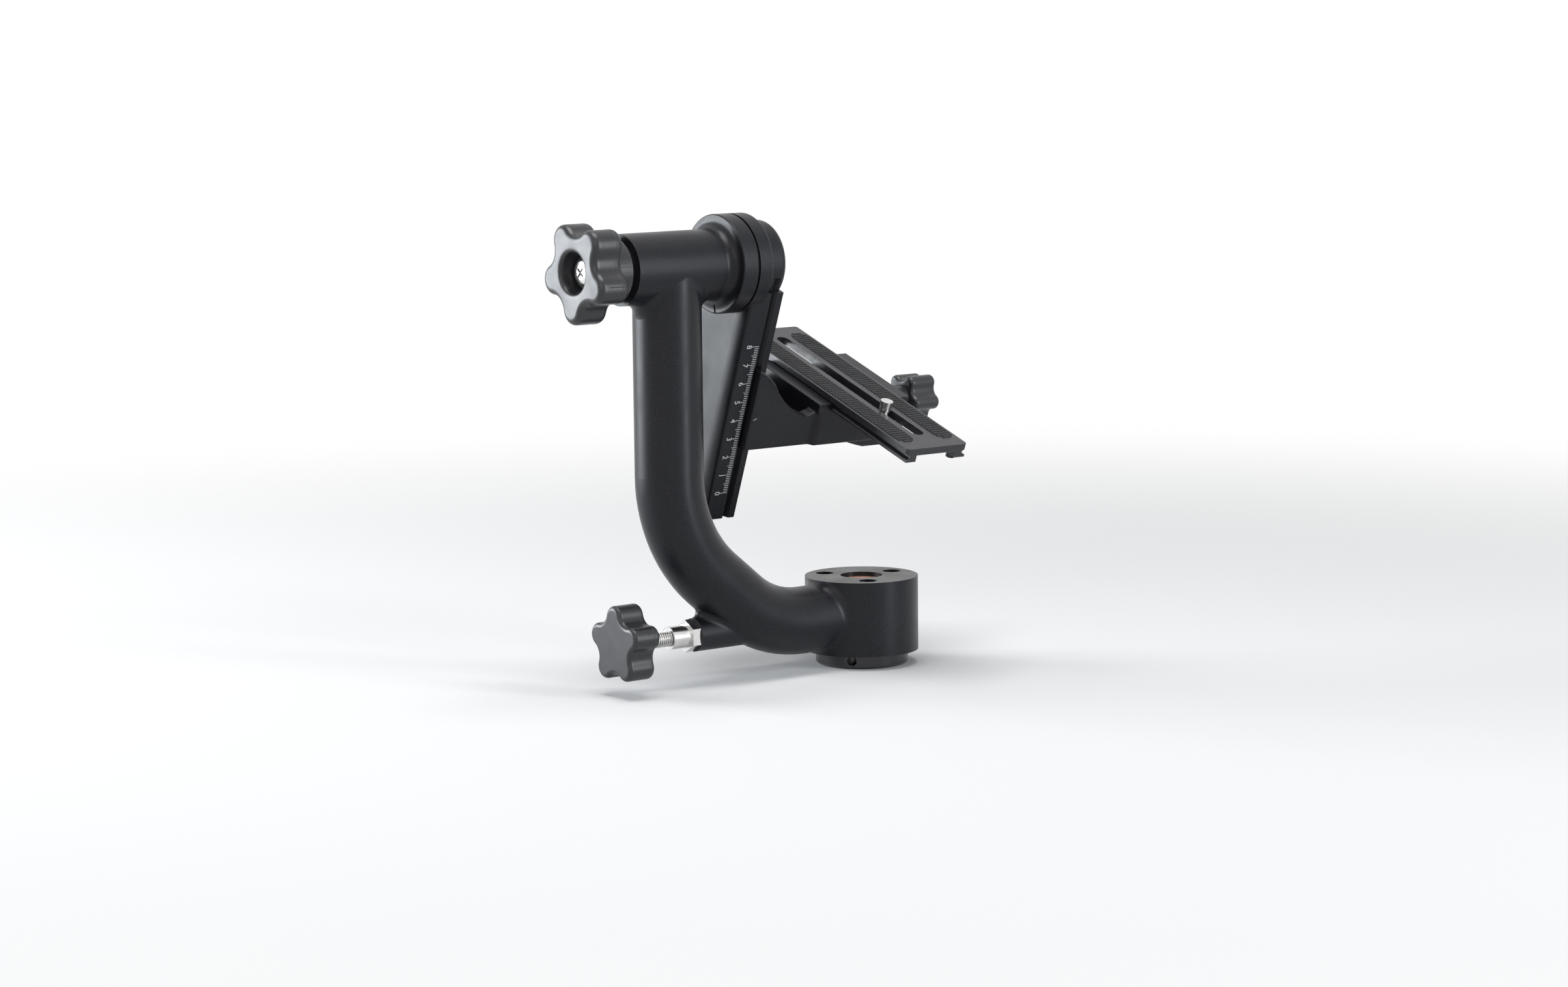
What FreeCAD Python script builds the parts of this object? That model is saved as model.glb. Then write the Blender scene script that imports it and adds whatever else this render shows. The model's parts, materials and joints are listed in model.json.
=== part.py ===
import FreeCAD, Part
import math
import os
import Sketcher
from FreeCAD import Placement, Rotation, Vector

# Driving sizes in millimetres and degrees.
# The origin is the bottom centre of the base collar, on the pan axis, with +Z up.
# The tilt axis runs along X. The hanging parts are drawn in the swing frame, whose origin
# lies on the tilt axis and whose Z runs up the swing arm, and are then turned by tilt_angle.
SIZES = [
    ("tilt_axis_height", 207.2, "tilt axis above the base"),
    ("tilt_angle", 20.2, "nose-down angle of the swing assembly at rest"),
    ("running_gap", 0.05, "radial clearance of shafts, rings and sliding rails"),
    ("free_gap", 0.3, "clearance between parts that never bear on each other"),
    ("seat_gap", 0.02, "radial clearance of rings pressed into their seats"),
    ("collar_radius", 23.5, "base collar"),
    ("collar_height", 6.5, "base collar"),
    ("collar_lip", 0.9, "chamfer round the foot of the collar"),
    ("tommy_radius", 2.5, "cross hole in the base collar"),
    ("tommy_height", 3.9, "cross hole axis above the base"),
    ("tommy_angle", 218.0, "direction of the visible cross hole"),
    ("socket_radius", 4.05, "minor radius of the tripod thread, three eighths inch, sixteen per inch"),
    ("insert_radius", 7.0, "steel thread insert"),
    ("insert_height", 9.0, "steel thread insert"),
    ("hub_radius", 28.75, "hub of the arm"),
    ("hub_bottom", 6.8, "underside of the hub"),
    ("hub_top", 44.5, "upper face of the hub"),
    ("hub_lid", 3.0, "wall over the bearing space"),
    ("window_radius", 10.65, "opening in the top of the hub"),
    ("cap_depth", 2.0, "cap below the upper face of the hub"),
    ("cap_thickness", 1.5, "copper-coloured cap on the spindle"),
    ("cap_chamfer", 0.4, "edge of the cap"),
    ("journal_radius", 6.0, "spindle and tilt shaft where the bearings sit"),
    ("bearing_radius", 14.0, "outside of a bearing"),
    ("bearing_width", 8.0, "width of a bearing"),
    ("race_radius", 8.3, "parting between inner ring and shielded outer ring"),
    ("lower_bearing_height", 9.5, "lower bearing"),
    ("upper_bearing_height", 29.9, "upper bearing"),
    ("drum_radius", 10.0, "brake drum of the spindle"),
    ("spindle_flange", 3.5, "shoulder of the spindle beyond the thread insert"),
    ("spindle_step", 1.2, "step of the spindle that carries the inner ring"),
    ("nut_height", 2.8, "locknut on top of the spindle"),
    ("nut_radius", 9.8, "locknut over its corners"),
    ("retainer_radius", 25.0, "bearing retainer under the hub"),
    ("retainer_thickness", 2.4, "bearing retainer"),
    ("retainer_wall", 2.5, "retainer inside the outside of the bearing"),
    ("drum_clearance", 1.5, "spacer outside the brake drum"),
    ("hub_screw_circle", 20.0, "radius of the circle of hub screws"),
    ("counterbore_radius", 4.55, "counterbored holes in the hub"),
    ("counterbore_depth", 9.5, "counterbored holes in the hub"),
    ("hub_screw_radius", 2.0, "shank of a hub screw"),
    ("hub_screw_head_radius", 3.6, "head of a hub screw"),
    ("hub_screw_head_height", 4.0, "head of a hub screw"),
    ("hex_key_radius", 1.75, "socket of a hub screw over its corners"),
    ("hex_key_depth", 2.0, "socket of a hub screw"),
    ("hub_screw_inset", 0.2, "end of a hub screw above the underside of the hub"),
    ("run_height", 25.6, "axis of the lower run of the arm and of the pan lock"),
    ("tube_radius", 16.9, "tube of the arm"),
    ("post_distance", 120.5, "upright of the arm from the pan axis"),
    ("bend_start_height", 72.9, "corner point where the upright turns inwards"),
    ("bend_end_distance", 62.4, "corner point where the slope meets the lower run"),
    ("upper_bend_radius", 68.7, "bend of the arm"),
    ("lower_bend_radius", 61.2, "bend of the arm"),
    ("hub_blend", 6.0, "fillet between arm and hub"),
    ("cross_radius", 17.4, "cross tube that carries the tilt shaft"),
    ("cross_overhang", 28.2, "cross tube beyond the upright, at the knob end"),
    ("cross_blend", 7.0, "fillet between upright and cross tube"),
    ("flange_radius", 24.4, "flange that faces the swing arm"),
    ("flange_reach", 29.1, "rear of the flange from the upright"),
    ("flange_thickness", 9.1, "flange that faces the swing arm"),
    ("flange_blend", 5.0, "fillet between cross tube and flange"),
    ("flange_edge", 0.8, "edge radius of the flange"),
    ("slit_half_width", 0.6, "slit in the rear of the flange"),
    ("slit_depth", 3.0, "slit in the rear of the flange"),
    ("slit_margin", 2.5, "slit below the cross tube"),
    ("boss_radius", 8.3, "pan lock boss on the bend"),
    ("boss_length", 45.5, "pan lock boss, down to its root inside the bend"),
    ("boss_blend", 3.0, "fillet between boss and bend"),
    ("boss_inset", 13.0, "outer face of the pan lock boss inside the upright's axis"),
    ("rod_radius", 3.0, "brake rod in the lower run"),
    ("bush_radius", 5.7, "pan lock bush"),
    ("bush_proud", 15.2, "pan lock bush beyond the boss"),
    ("bush_hex_length", 4.9, "hexagon of the pan lock bush"),
    ("bush_hex_radius", 8.1, "hexagon of the bush over its corners"),
    ("bush_depth", 21.5, "pan lock bush inside the boss"),
    ("lock_screw_radius", 4.0, "pan lock screw, eight millimetres"),
    ("lock_screw_depth", 37.5, "pan lock screw inside the boss"),
    ("lock_pad_radius", 3.9, "brass pad of the pan lock"),
    ("lock_pad_length", 5.0, "brass pad of the pan lock"),
    ("pad_run", 3.0, "room behind the brass pad"),
    ("knob_grip", 11.0, "screw inside the pan lock knob"),
    ("knob_neck_wall", 2.8, "wall of the neck of the pan lock knob"),
    ("knob_neck_length", 2.5, "neck of the pan lock knob"),
    ("pan_knob_reach", 48.5, "outer face of the pan lock knob from the boss"),
    ("pan_knob_thickness", 15.4, "pan lock knob"),
    ("pan_knob_radius", 19.4, "pan lock knob over its lobes"),
    ("pan_knob_turn", 91.0, "direction of one lobe"),
    ("pan_knob_round", 2.2, "round rims of the pan lock knob"),
    ("tilt_knob_reach", 27.7, "outer face of the tilt lock knob from the cross tube"),
    ("tilt_knob_thickness", 17.2, "tilt lock knob"),
    ("tilt_knob_radius", 25.2, "tilt lock knob over its lobes"),
    ("tilt_knob_turn", 120.6, "direction of one lobe"),
    ("tilt_knob_round", 3.2, "round rims of the tilt lock knob"),
    ("dish_flare", 1.5, "mouth of the dish beyond its middle"),
    ("dish_taper", 1.0, "floor of the dish inside its middle"),
    ("knob_web", 3.0, "wall between the dish and the shaft"),
    ("knob_counterbore", 2.5, "counterbore in the rear of the tilt knob"),
    ("dish_radius", 9.0, "dished recess in the tilt knob"),
    ("dish_depth", 8.2, "dished recess in the tilt knob"),
    ("knob_screw_radius", 6.3, "cross-head screw in the tilt knob"),
    ("knob_screw_lift", 0.8, "cross-head screw above the dish, so that the knob can back off"),
    ("knob_screw_height", 2.4, "cross-head screw in the tilt knob"),
    ("knob_screw_shank", 2.0, "shank of the cross-head screw"),
    ("thread_margin", 0.6, "bore of the tilt knob before the end of the shaft"),
    ("press_collar_radius", 16.0, "pressure collar of the tilt lock"),
    ("press_collar_gap", 3.3, "wide rim of the collar, from the cross tube"),
    ("press_neck_radius", 13.6, "dark neck of the pressure collar, inside the cross tube"),
    ("press_nose_radius", 8.0, "nose of the pressure collar against the bearing"),
    ("press_nose_length", 1.5, "nose of the pressure collar"),
    ("tilt_thread_radius", 5.0, "threaded end of the tilt shaft"),
    ("shaft_step", 1.0, "cone between the thread and the journal of the tilt shaft"),
    ("spacer_wall", 2.0, "wall of the spacer, and of the cross tube inside the bearings"),
    ("left_bearing_depth", 5.7, "bearing inside the knob end of the cross tube"),
    ("right_bearing_depth", 13.7, "bearing inside the flange end of the cross tube"),
    ("friction_thickness", 0.9, "friction disc between flange and swing arm"),
    ("friction_radius", 23.2, "friction disc"),
    ("head_thickness", 8.9, "flange to the inner side of the round head"),
    ("arm_step_depth", 13.6, "flange to the edge between scale strip and rail"),
    ("arm_groove_step", 1.9, "from that edge to the deepest line of the groove, and on to its outer line"),
    ("arm_lip_thickness", 3.5, "rail beyond its groove"),
    ("arm_half_width", 20.5, "half width of the swing arm"),
    ("groove_depth", 2.4, "depth of the rail groove"),
    ("arm_corner", 8.0, "round corners of the outer face, across the arm"),
    ("arm_corner_rise", 2.8, "round corners of the outer face, along the tilt axis"),
    ("rail_drop", 8.0, "top of the straight rail below the tilt axis"),
    ("head_round", 3.5, "round inner edge of the head of the swing arm"),
    ("arm_length", 131.0, "tilt axis to the foot of the swing arm"),
    ("arm_foot_cut", 9.0, "slanted corner at the foot"),
    ("foot_toe", 0.5, "share of the slanted corner that is left at the foot"),
    ("neck_radius", 2.5, "neck of the camera screw, which keeps it in the slot"),
    ("shaft_nut_radius", 8.5, "nut on the inner end of the tilt shaft, over its corners"),
    ("shaft_nut_height", 3.6, "nut on the inner end of the tilt shaft"),
    ("carriage_top", -48.0, "top of the carriage at scale four"),
    ("carriage_bottom", -91.8, "underside of the carriage"),
    ("carriage_start", 0.5, "outer face of the carriage from the edge of the scale strip"),
    ("carriage_wall", 5.4, "upright of the carriage behind the rail"),
    ("carriage_half_width", 25.0, "half width of the carriage"),
    ("lip_drop", 4.0, "right end of the top of the webs below the top"),
    ("lip_width", 7.0, "top of the webs"),
    ("scoop_drop", 9.0, "start of the scoop below the top"),
    ("gusset_thickness", 6.5, "side webs of the carriage"),
    ("block_round", 2.5, "round upright edges of the clamp block"),
    ("scoop_middle", -46.5, "middle of the scoop across the clamp"),
    ("scoop_middle_height", -68.0, "middle of the scoop"),
    ("scoop_end", -33.0, "end of the scoop across the clamp"),
    ("scoop_end_height", -75.4, "end of the scoop"),
    ("web_round", 6.0, "round corners between the webs"),
    ("swell_start", -5.0, "start of the swelling under the clamp"),
    ("swell_middle", 1.5, "middle of the swelling"),
    ("swell_end", 9.0, "end of the swelling"),
    ("bed_height", -72.7, "bed of the clamp"),
    ("floor_height", -84.0, "floor between the webs"),
    ("clamp_bottom", -96.2, "underside of the clamp block"),
    ("clamp_half_length", 27.0, "half length of the clamp jaws"),
    ("jaw_outer", 27.0, "outer face of the fixed jaw"),
    ("jaw_top", -68.7, "top of the jaws"),
    ("clamp_block_end", 24.0, "right end of the clamp block"),
    ("moving_jaw_end", 31.0, "right end of the moving jaw"),
    ("moving_jaw_bottom", -90.0, "underside of the moving jaw"),
    ("clamp_axis_height", -83.0, "axis of the clamp screw"),
    ("clamp_screw_radius", 3.0, "clamp screw, six millimetres"),
    ("clamp_screw_start", -10.0, "inner end of the clamp screw"),
    ("clamp_screw_run", 4.0, "room before the inner end of the clamp screw"),
    ("guide_pin_radius", 1.5, "guide pins of the moving jaw"),
    ("guide_pin_offset", 16.0, "guide pins from the clamp screw"),
    ("guide_pin_length", 22.0, "guide pins"),
    ("guide_pin_seat", 5.0, "guide pins inside the moving jaw"),
    ("clamp_knob_start", 51.0, "inner face of the clamp knob"),
    ("clamp_knob_thickness", 16.5, "clamp knob"),
    ("clamp_knob_radius", 12.8, "clamp knob over its lobes"),
    ("clamp_knob_turn", 75.0, "direction of one lobe"),
    ("clamp_knob_round", 2.2, "round rims of the clamp knob"),
    ("clamp_knob_grip", 10.0, "screw inside the clamp knob"),
    ("clamp_neck_radius", 6.5, "neck between clamp knob and jaw"),
    ("plate_half_width", 19.2, "quick-release plate"),
    ("plate_top", -65.4, "top of the plate"),
    ("plate_edge", 2.8, "thickness of the edge above the groove"),
    ("plate_groove", 2.3, "depth of the side grooves"),
    ("plate_lip", 1.2, "lip below the side grooves"),
    ("lip_inset", 0.2, "lip set back from the edge above it"),
    ("groove_floor", 0.9, "flat floor of the side grooves"),
    ("plate_height", 7.2, "height of the plate"),
    ("plate_skin", 3.8, "thickness of the plate over the channel"),
    ("channel_half_width", 12.6, "channel under the plate"),
    ("plate_front", -88.4, "front end of the plate"),
    ("plate_length", 144.5, "quick-release plate"),
    ("plate_corner", 1.6, "round corners of the plate"),
    ("slot_front", -74.6, "front end of the long slot"),
    ("slot_rear", 45.4, "rear end of the long slot"),
    ("slot_half_width", 3.5, "long slot"),
    ("pad_inner", 7.1, "inner edge of the rubber strips"),
    ("pad_outer", 18.1, "outer edge of the rubber strips"),
    ("pad_front", -81.0, "front end of the rubber strips"),
    ("pad_rear", 48.6, "rear end of the rubber strips"),
    ("pad_recess", 1.0, "recess of the rubber strips"),
    ("pad_proud", 0.5, "rubber strips above the plate"),
    ("pad_gap", 0.1, "rubber strips inside their recess"),
    ("stop_radius", 2.3, "stop screws under the plate"),
    ("stop_height", 2.6, "stop screws under the plate"),
    ("stop_shank_radius", 1.38, "shank of a stop screw"),
    ("stop_hole_top", 2.6, "top of the stop screw's hole below the plate's face"),
    ("stop_inset", 6.5, "stop screws from the ends of the plate"),
    ("stop_offset", 15.8, "stop screws from the middle of the plate"),
    ("camera_screw_radius", 3.175, "camera screw, a quarter inch, twenty per inch"),
    ("camera_screw_place", -45.0, "camera screw along the slot"),
    ("camera_screw_proud", 5.0, "camera screw above the plate"),
    ("camera_head_radius", 6.5, "head of the camera screw"),
    ("camera_head_height", 2.2, "head of the camera screw"),
    ("head_set_back", 0.5, "head of the camera screw inside the washer"),
    ("coin_slit_half_width", 0.8, "slit in the camera screw"),
    ("coin_slit_depth", 1.2, "slit in the camera screw"),
    ("washer_thickness", 0.8, "washer of the camera screw"),
    ("height_lock_height", -70.0, "height lock screw"),
    ("height_lock_radius", 2.5, "height lock screw, five millimetres"),
    ("height_pad_radius", 2.9, "brass pad of the height lock"),
    ("height_pad_length", 2.6, "brass pad of the height lock"),
    ("height_knob_start", 32.0, "inner face of the height lock knob"),
    ("height_knob_thickness", 12.0, "height lock knob"),
    ("height_knob_radius", 13.5, "height lock knob over its lobes"),
    ("height_knob_turn", 90.0, "direction of one lobe"),
    ("height_knob_round", 1.6, "round rims of the height lock knob"),
    ("height_knob_grip", 8.0, "screw inside the height lock knob"),
    ("height_neck_wall", 2.5, "wall of the neck of the height lock knob"),
    ("height_neck_gap", 1.5, "neck from the carriage"),
]

# Places along the tilt axis, each worked out from the upright of the arm
DERIVED = {
    "cross_end": "-post_distance - cross_overhang",
    "flange_start": "-post_distance + flange_reach",
    "flange_end": "flange_start + flange_thickness",
    "boss_start": "-post_distance + boss_inset",
    "boss_root": "boss_start + boss_length",
    "bush_start": "boss_start - bush_proud",
    "bush_hex_start": "boss_start - bush_hex_length",
    "bush_end": "boss_start + bush_depth",
    "lock_screw_end": "boss_start + lock_screw_depth",
    "pan_knob_face": "boss_start - pan_knob_reach",
    "tilt_knob_face": "cross_end - tilt_knob_reach",
    "press_collar_end": "cross_end - press_collar_gap",
    "left_bearing_start": "cross_end + left_bearing_depth",
    "right_bearing_start": "flange_end - right_bearing_depth",
    "boss_disc_end": "flange_end + head_thickness",
    "arm_step": "flange_end + arm_step_depth",
    "arm_groove": "arm_step + arm_groove_step",
    "arm_lip": "arm_groove + arm_groove_step",
    "arm_right": "arm_lip + arm_lip_thickness",
    "carriage_left": "arm_step + carriage_start",
    "carriage_back": "arm_right + carriage_wall",
}

LOBES = 5
HUB_SCREWS = 3
FULL_TURN = 360.0
HEX_SIDES = 6
# How far a cutting solid reaches past the faces that it opens
PAST = 1.0
# How far an edge may lie from where it is looked for
NEAR = 1.0
TOUCH = 0.1

DOC = FreeCAD.newDocument("gimbal_head")
SHEET = DOC.addObject("Spreadsheet::Sheet", "Sizes")
PIECES = []


def fill_sheet():
    """Write each driving size into the sheet as a plain number with an alias."""
    for row, (alias, number, note) in enumerate(SIZES, start=1):
        SHEET.set("A%d" % row, note)
        SHEET.set("B%d" % row, str(number))
        SHEET.setAlias("B%d" % row, alias)
    DOC.recompute()


def size(alias):
    """A driving size, read from the sheet, or a place worked out from several."""
    if alias in DERIVED:
        return measure(alias)
    return float(SHEET.get(alias))


def measure(expression):
    """A number worked out from the sheet, for the first drawing of a sketch."""
    value = SHEET.evalExpression(bound(expression))
    return float(getattr(value, "Value", value))


def bound(expression):
    """The expression with each alias written as a cell of the sheet."""
    words = []
    for word in str(expression).split():
        sign = "-" if word[0] == "-" and len(word) > 1 else ""
        name = word[len(sign):]
        if name in DERIVED:
            words.append(sign + "( " + bound(DERIVED[name]) + " )")
        elif name in ALIASES:
            words.append(sign + "Sizes." + name)
        else:
            words.append(word)
    return " ".join(words)


ALIASES = {alias for alias, number, note in SIZES}


def swing_placement():
    """From the swing frame to the part's frame at rest."""
    turn = Rotation(Vector(1, 0, 0), size("tilt_angle"))
    return Placement(Vector(0, 0, size("tilt_axis_height")), turn)


def keep(piece, label, swing=False):
    """Name a finished sub-part and put it in its place."""
    piece.Label = label
    if swing:
        piece.Placement = swing_placement().multiply(piece.Placement)
    PIECES.append(piece)
    return piece


def part_feature(label, shape, place=None, swing=False):
    """A sub-part whose shape comes from the sheet through Part's own functions."""
    piece = DOC.addObject("Part::Feature", label)
    piece.Shape = shape
    if place:
        piece.Placement = place
    return keep(piece, label, swing)


def origin_plane(body, role):
    """One of the body's own origin planes."""
    for feature in body.Origin.OriginFeatures:
        if feature.Role == role:
            return feature
    raise ValueError(role)


def closed_sketch(body, name, role, outline):
    """A closed outline of straight lines whose corners are bound to the sheet."""
    sketch = body.newObject("Sketcher::SketchObject", name)
    sketch.AttachmentSupport = [(origin_plane(body, role), "")]
    sketch.MapMode = "FlatFace"
    corners = [Vector(measure(x), measure(y), 0) for x, y in outline]
    count = len(corners)
    for index in range(count):
        line = Part.LineSegment(corners[index], corners[(index + 1) % count])
        sketch.addGeometry(line, False)
    for index in range(count):
        following = (index + 1) % count
        sketch.addConstraint(Sketcher.Constraint("Coincident", index, 2, following, 1))
    for index, (x, y) in enumerate(outline):
        bind(sketch, "DistanceX", index, x, corners[index].x)
        bind(sketch, "DistanceY", index, y, corners[index].y)
    return sketch


def bind(sketch, kind, index, expression, value):
    """Hold one coordinate of a corner at its expression."""
    number = sketch.addConstraint(Sketcher.Constraint(kind, -1, 1, index, 1, value))
    sketch.setExpression("Constraints[%d]" % number, bound(expression))


def turned(label, outline, place=None, swing=False):
    """A turned piece. The outline gives radius and height; the axis is the body's Z."""
    body = DOC.addObject("PartDesign::Body", label)
    sketch = closed_sketch(body, label + "_outline", "XZ_Plane", outline)
    spin = body.newObject("PartDesign::Revolution", label + "_turned")
    spin.Profile = sketch
    spin.ReferenceAxis = (sketch, ["V_Axis"])
    spin.Angle = FULL_TURN
    if place:
        body.Placement = place
    return keep(body, label, swing)


def ring(label, inner, outer, low, high, place=None, swing=False):
    """A plain ring or tube."""
    outline = [(inner, low), (outer, low), (outer, high), (inner, high)]
    return turned(label, outline, place, swing)


def along_x(height=0.0):
    """Turns a body's Z axis onto +X, at a height above the origin."""
    return Placement(Vector(0, 0, height), Rotation(Vector(0, 1, 0), 90))


def rod(radius, start, end, axis="x", y=0.0, z=0.0):
    """A solid cylinder between two planes, along x, y or z through a point."""
    length = end - start
    if axis == "x":
        return Part.makeCylinder(radius, length, Vector(start, y, z), Vector(1, 0, 0))
    if axis == "y":
        return Part.makeCylinder(radius, length, Vector(y, start, z), Vector(0, 1, 0))
    return Part.makeCylinder(radius, length, Vector(y, z, start), Vector(0, 0, 1))


def block(low, high):
    """A box between two corners."""
    lengths = [top - bottom for bottom, top in zip(low, high)]
    return Part.makeBox(lengths[0], lengths[1], lengths[2], Vector(*low))


def hexagon(radius, start, end, z=0.0):
    """A hexagonal bar along X, with a corner up."""
    points = []
    for step in range(HEX_SIDES + 1):
        angle = math.radians(step * FULL_TURN / HEX_SIDES)
        points.append(Vector(start, radius * math.sin(angle), z + radius * math.cos(angle)))
    return Part.Face(Part.makePolygon(points)).extrude(Vector(end - start, 0, 0))


def build_base():
    """Collar, thread insert, spindle with locknut and cap."""
    build_collar()
    ring("thread_insert", "socket_radius", "insert_radius", "0", "insert_height")
    turned("pan_spindle", [
        ("insert_radius + seat_gap", "collar_height"),
        ("insert_radius + spindle_flange", "collar_height"),
        ("insert_radius + spindle_flange", "lower_bearing_height - free_gap"),
        ("insert_radius + spindle_step", "lower_bearing_height - free_gap"),
        ("insert_radius + spindle_step", "lower_bearing_height"),
        ("journal_radius", "lower_bearing_height"),
        ("journal_radius", "lower_bearing_height + bearing_width"),
        ("drum_radius", "lower_bearing_height + bearing_width + free_gap"),
        ("drum_radius", "upper_bearing_height - free_gap"),
        ("journal_radius", "upper_bearing_height"),
        ("journal_radius", "hub_top - cap_depth - cap_thickness"),
        ("0", "hub_top - cap_depth - cap_thickness"),
        ("0", "insert_height"),
        ("insert_radius + seat_gap", "insert_height"),
    ])
    bearing("lower_bearing", size("lower_bearing_height"), None)
    bearing("upper_bearing", size("upper_bearing_height"), None)
    nut_low = size("upper_bearing_height") + size("bearing_width")
    nut = hexagon(size("nut_radius"), 0, size("nut_height"))
    nut = nut.cut(rod(size("journal_radius") + size("seat_gap"), -PAST, size("nut_height") + PAST))
    stand = Placement(Vector(0, 0, nut_low), Rotation(Vector(0, 1, 0), -90))
    part_feature("spindle_nut", nut, stand)
    turned("spindle_cap", [
        ("0", "hub_top - cap_depth - cap_thickness"),
        ("window_radius - free_gap", "hub_top - cap_depth - cap_thickness"),
        ("window_radius - free_gap", "hub_top - cap_depth - cap_chamfer"),
        ("window_radius - free_gap - cap_chamfer", "hub_top - cap_depth"),
        ("0", "hub_top - cap_depth"),
    ])


def build_collar():
    """The collar that screws onto the tripod, with its two cross holes."""
    collar = DOC.addObject("PartDesign::Body", "base_collar")
    bore = "insert_radius + seat_gap"
    outline = [
        (bore, "0"),
        ("collar_radius - collar_lip", "0"),
        ("collar_radius", "collar_lip"),
        ("collar_radius", "collar_height"),
        (bore, "collar_height"),
    ]
    sketch = closed_sketch(collar, "collar_outline", "XZ_Plane", outline)
    spin = collar.newObject("PartDesign::Revolution", "collar_turned")
    spin.Profile = sketch
    spin.ReferenceAxis = (sketch, ["V_Axis"])
    spin.Angle = FULL_TURN
    DOC.recompute()
    whole = collar.Shape.Volume
    hole = collar.newObject("Sketcher::SketchObject", "tommy_outline")
    hole.AttachmentSupport = [(origin_plane(collar, "XZ_Plane"), "")]
    hole.MapMode = "FlatFace"
    hole.addGeometry(Part.Circle(Vector(0, size("tommy_height"), 0), Vector(0, 0, 1),
                                 size("tommy_radius")), False)
    hole.addConstraint(Sketcher.Constraint("Radius", 0, size("tommy_radius")))
    hole.setExpression("Constraints[0]", bound("tommy_radius"))
    hole.addConstraint(Sketcher.Constraint("DistanceX", -1, 1, 0, 3, 0))
    hole.addConstraint(Sketcher.Constraint("DistanceY", -1, 1, 0, 3, size("tommy_height")))
    hole.setExpression("Constraints[2]", bound("tommy_height"))
    cross = collar.newObject("PartDesign::Pocket", "tommy_hole")
    cross.Profile = hole
    cross.Type = "ThroughAll"
    cross.Midplane = True
    DOC.recompute()
    if collar.Shape.Volume >= whole:
        raise ValueError("the cross hole cuts nothing")
    collar.Placement = Placement(Vector(0, 0, 0),
                                 Rotation(Vector(0, 0, 1), size("tommy_angle") + 90))
    keep(collar, "base_collar")


def bearing(name, start, place, turns=False):
    """A shielded ball bearing: the inner ring and the outer ring with its shields.

    A tilt bearing's inner ring turns with the swing assembly.
    """
    inner = rod(size("race_radius") - size("running_gap"), start, start + size("bearing_width"), "z")
    inner = inner.cut(rod(size("journal_radius") + size("seat_gap"), start - PAST,
                          start + size("bearing_width") + PAST, "z"))
    outer = rod(size("bearing_radius"), start, start + size("bearing_width"), "z")
    outer = outer.cut(rod(size("race_radius") + size("running_gap"), start - PAST,
                          start + size("bearing_width") + PAST, "z"))
    part_feature(name + "_inner", inner, along_x() if turns else place, turns)
    part_feature(name + "_outer", outer, place)


def arm_path():
    """Centre line of the tube: upright, bend, slope, bend, lower run."""
    top = Vector(-size("post_distance"), 0, size("tilt_axis_height"))
    corner = Vector(-size("post_distance"), 0, size("bend_start_height"))
    knee = Vector(-size("bend_end_distance"), 0, size("run_height"))
    end = Vector(0, 0, size("run_height"))
    first = rounded(top, corner, knee, size("upper_bend_radius"))
    second = rounded(corner, knee, end, size("lower_bend_radius"))
    edges = [
        Part.LineSegment(top, first[0]),
        Part.Arc(first[0], first[1], first[2]),
        Part.LineSegment(first[2], second[0]),
        Part.Arc(second[0], second[1], second[2]),
        Part.LineSegment(second[2], end),
    ]
    return Part.Wire([edge.toShape() for edge in edges])


def rounded(before, corner, after, radius):
    """Start, middle and end of the arc that rounds a corner of the path."""
    inward = (before - corner).normalize()
    outward = (after - corner).normalize()
    half = inward.getAngle(outward) / 2
    reach = radius / math.tan(half)
    centre = corner + (inward + outward).normalize() * (radius / math.sin(half))
    middle = centre + (corner - centre).normalize() * radius
    return corner + inward * reach, middle, corner + outward * reach


def blend(shape, radius, chosen, label):
    """Round the chosen edges of a shape."""
    edges = [edge for edge in shape.Edges if chosen(edge)]
    if not edges:
        raise ValueError("no edge to round at " + label)
    rounded_shape = shape.makeFillet(radius, edges)
    if not rounded_shape.isValid():
        raise ValueError("the fillet failed at " + label)
    return rounded_shape


def build_arm():
    """The cast arm: hub, bent tube, cross tube, flange and pan lock boss."""
    axis = size("tilt_axis_height")
    run = size("run_height")
    start = Vector(-size("post_distance"), 0, axis)
    section = Part.Wire(Part.makeCircle(size("tube_radius"), start, Vector(0, 0, 1)))
    tube = Part.Wire(arm_path()).makePipeShell([section], True, True)
    cross = rod(size("cross_radius"), size("cross_end"), size("flange_end"), "x", 0, axis)
    casting = tube.fuse(cross).removeSplitter()
    casting = blend(casting, size("cross_blend"), near_tee, "the tee")
    hub = rod(size("hub_radius"), size("hub_bottom"), size("hub_top"), "z")
    casting = casting.fuse(hub).removeSplitter()
    casting = blend(casting, size("hub_blend"), near_hub, "the hub")
    flange = rod(size("flange_radius"), size("flange_start"), size("flange_end"), "x", 0, axis)
    casting = casting.fuse(flange).removeSplitter()
    casting = blend(casting, size("flange_blend"), near_flange, "the flange")
    casting = blend(casting, size("flange_edge"), flange_rim, "the rim of the flange")
    boss = rod(size("boss_radius"), size("boss_start"), size("boss_root"), "x", 0, run)
    casting = casting.fuse(boss).removeSplitter()
    casting = blend(casting, size("boss_blend"), near_boss, "the pan lock boss")
    casting = casting.cut(hub_space()).cut(lock_tunnel()).cut(cross_bore()).cut(flange_slit())
    return part_feature("main_arm", casting)


def near_tee(edge):
    """Edges where the upright meets the cross tube."""
    box = edge.BoundBox
    axis = size("tilt_axis_height")
    inside = abs(box.Center.x + size("post_distance")) < size("tube_radius")
    return inside and box.ZMax < axis + NEAR and box.ZMin > axis - size("cross_radius") - size("cross_blend")


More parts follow.
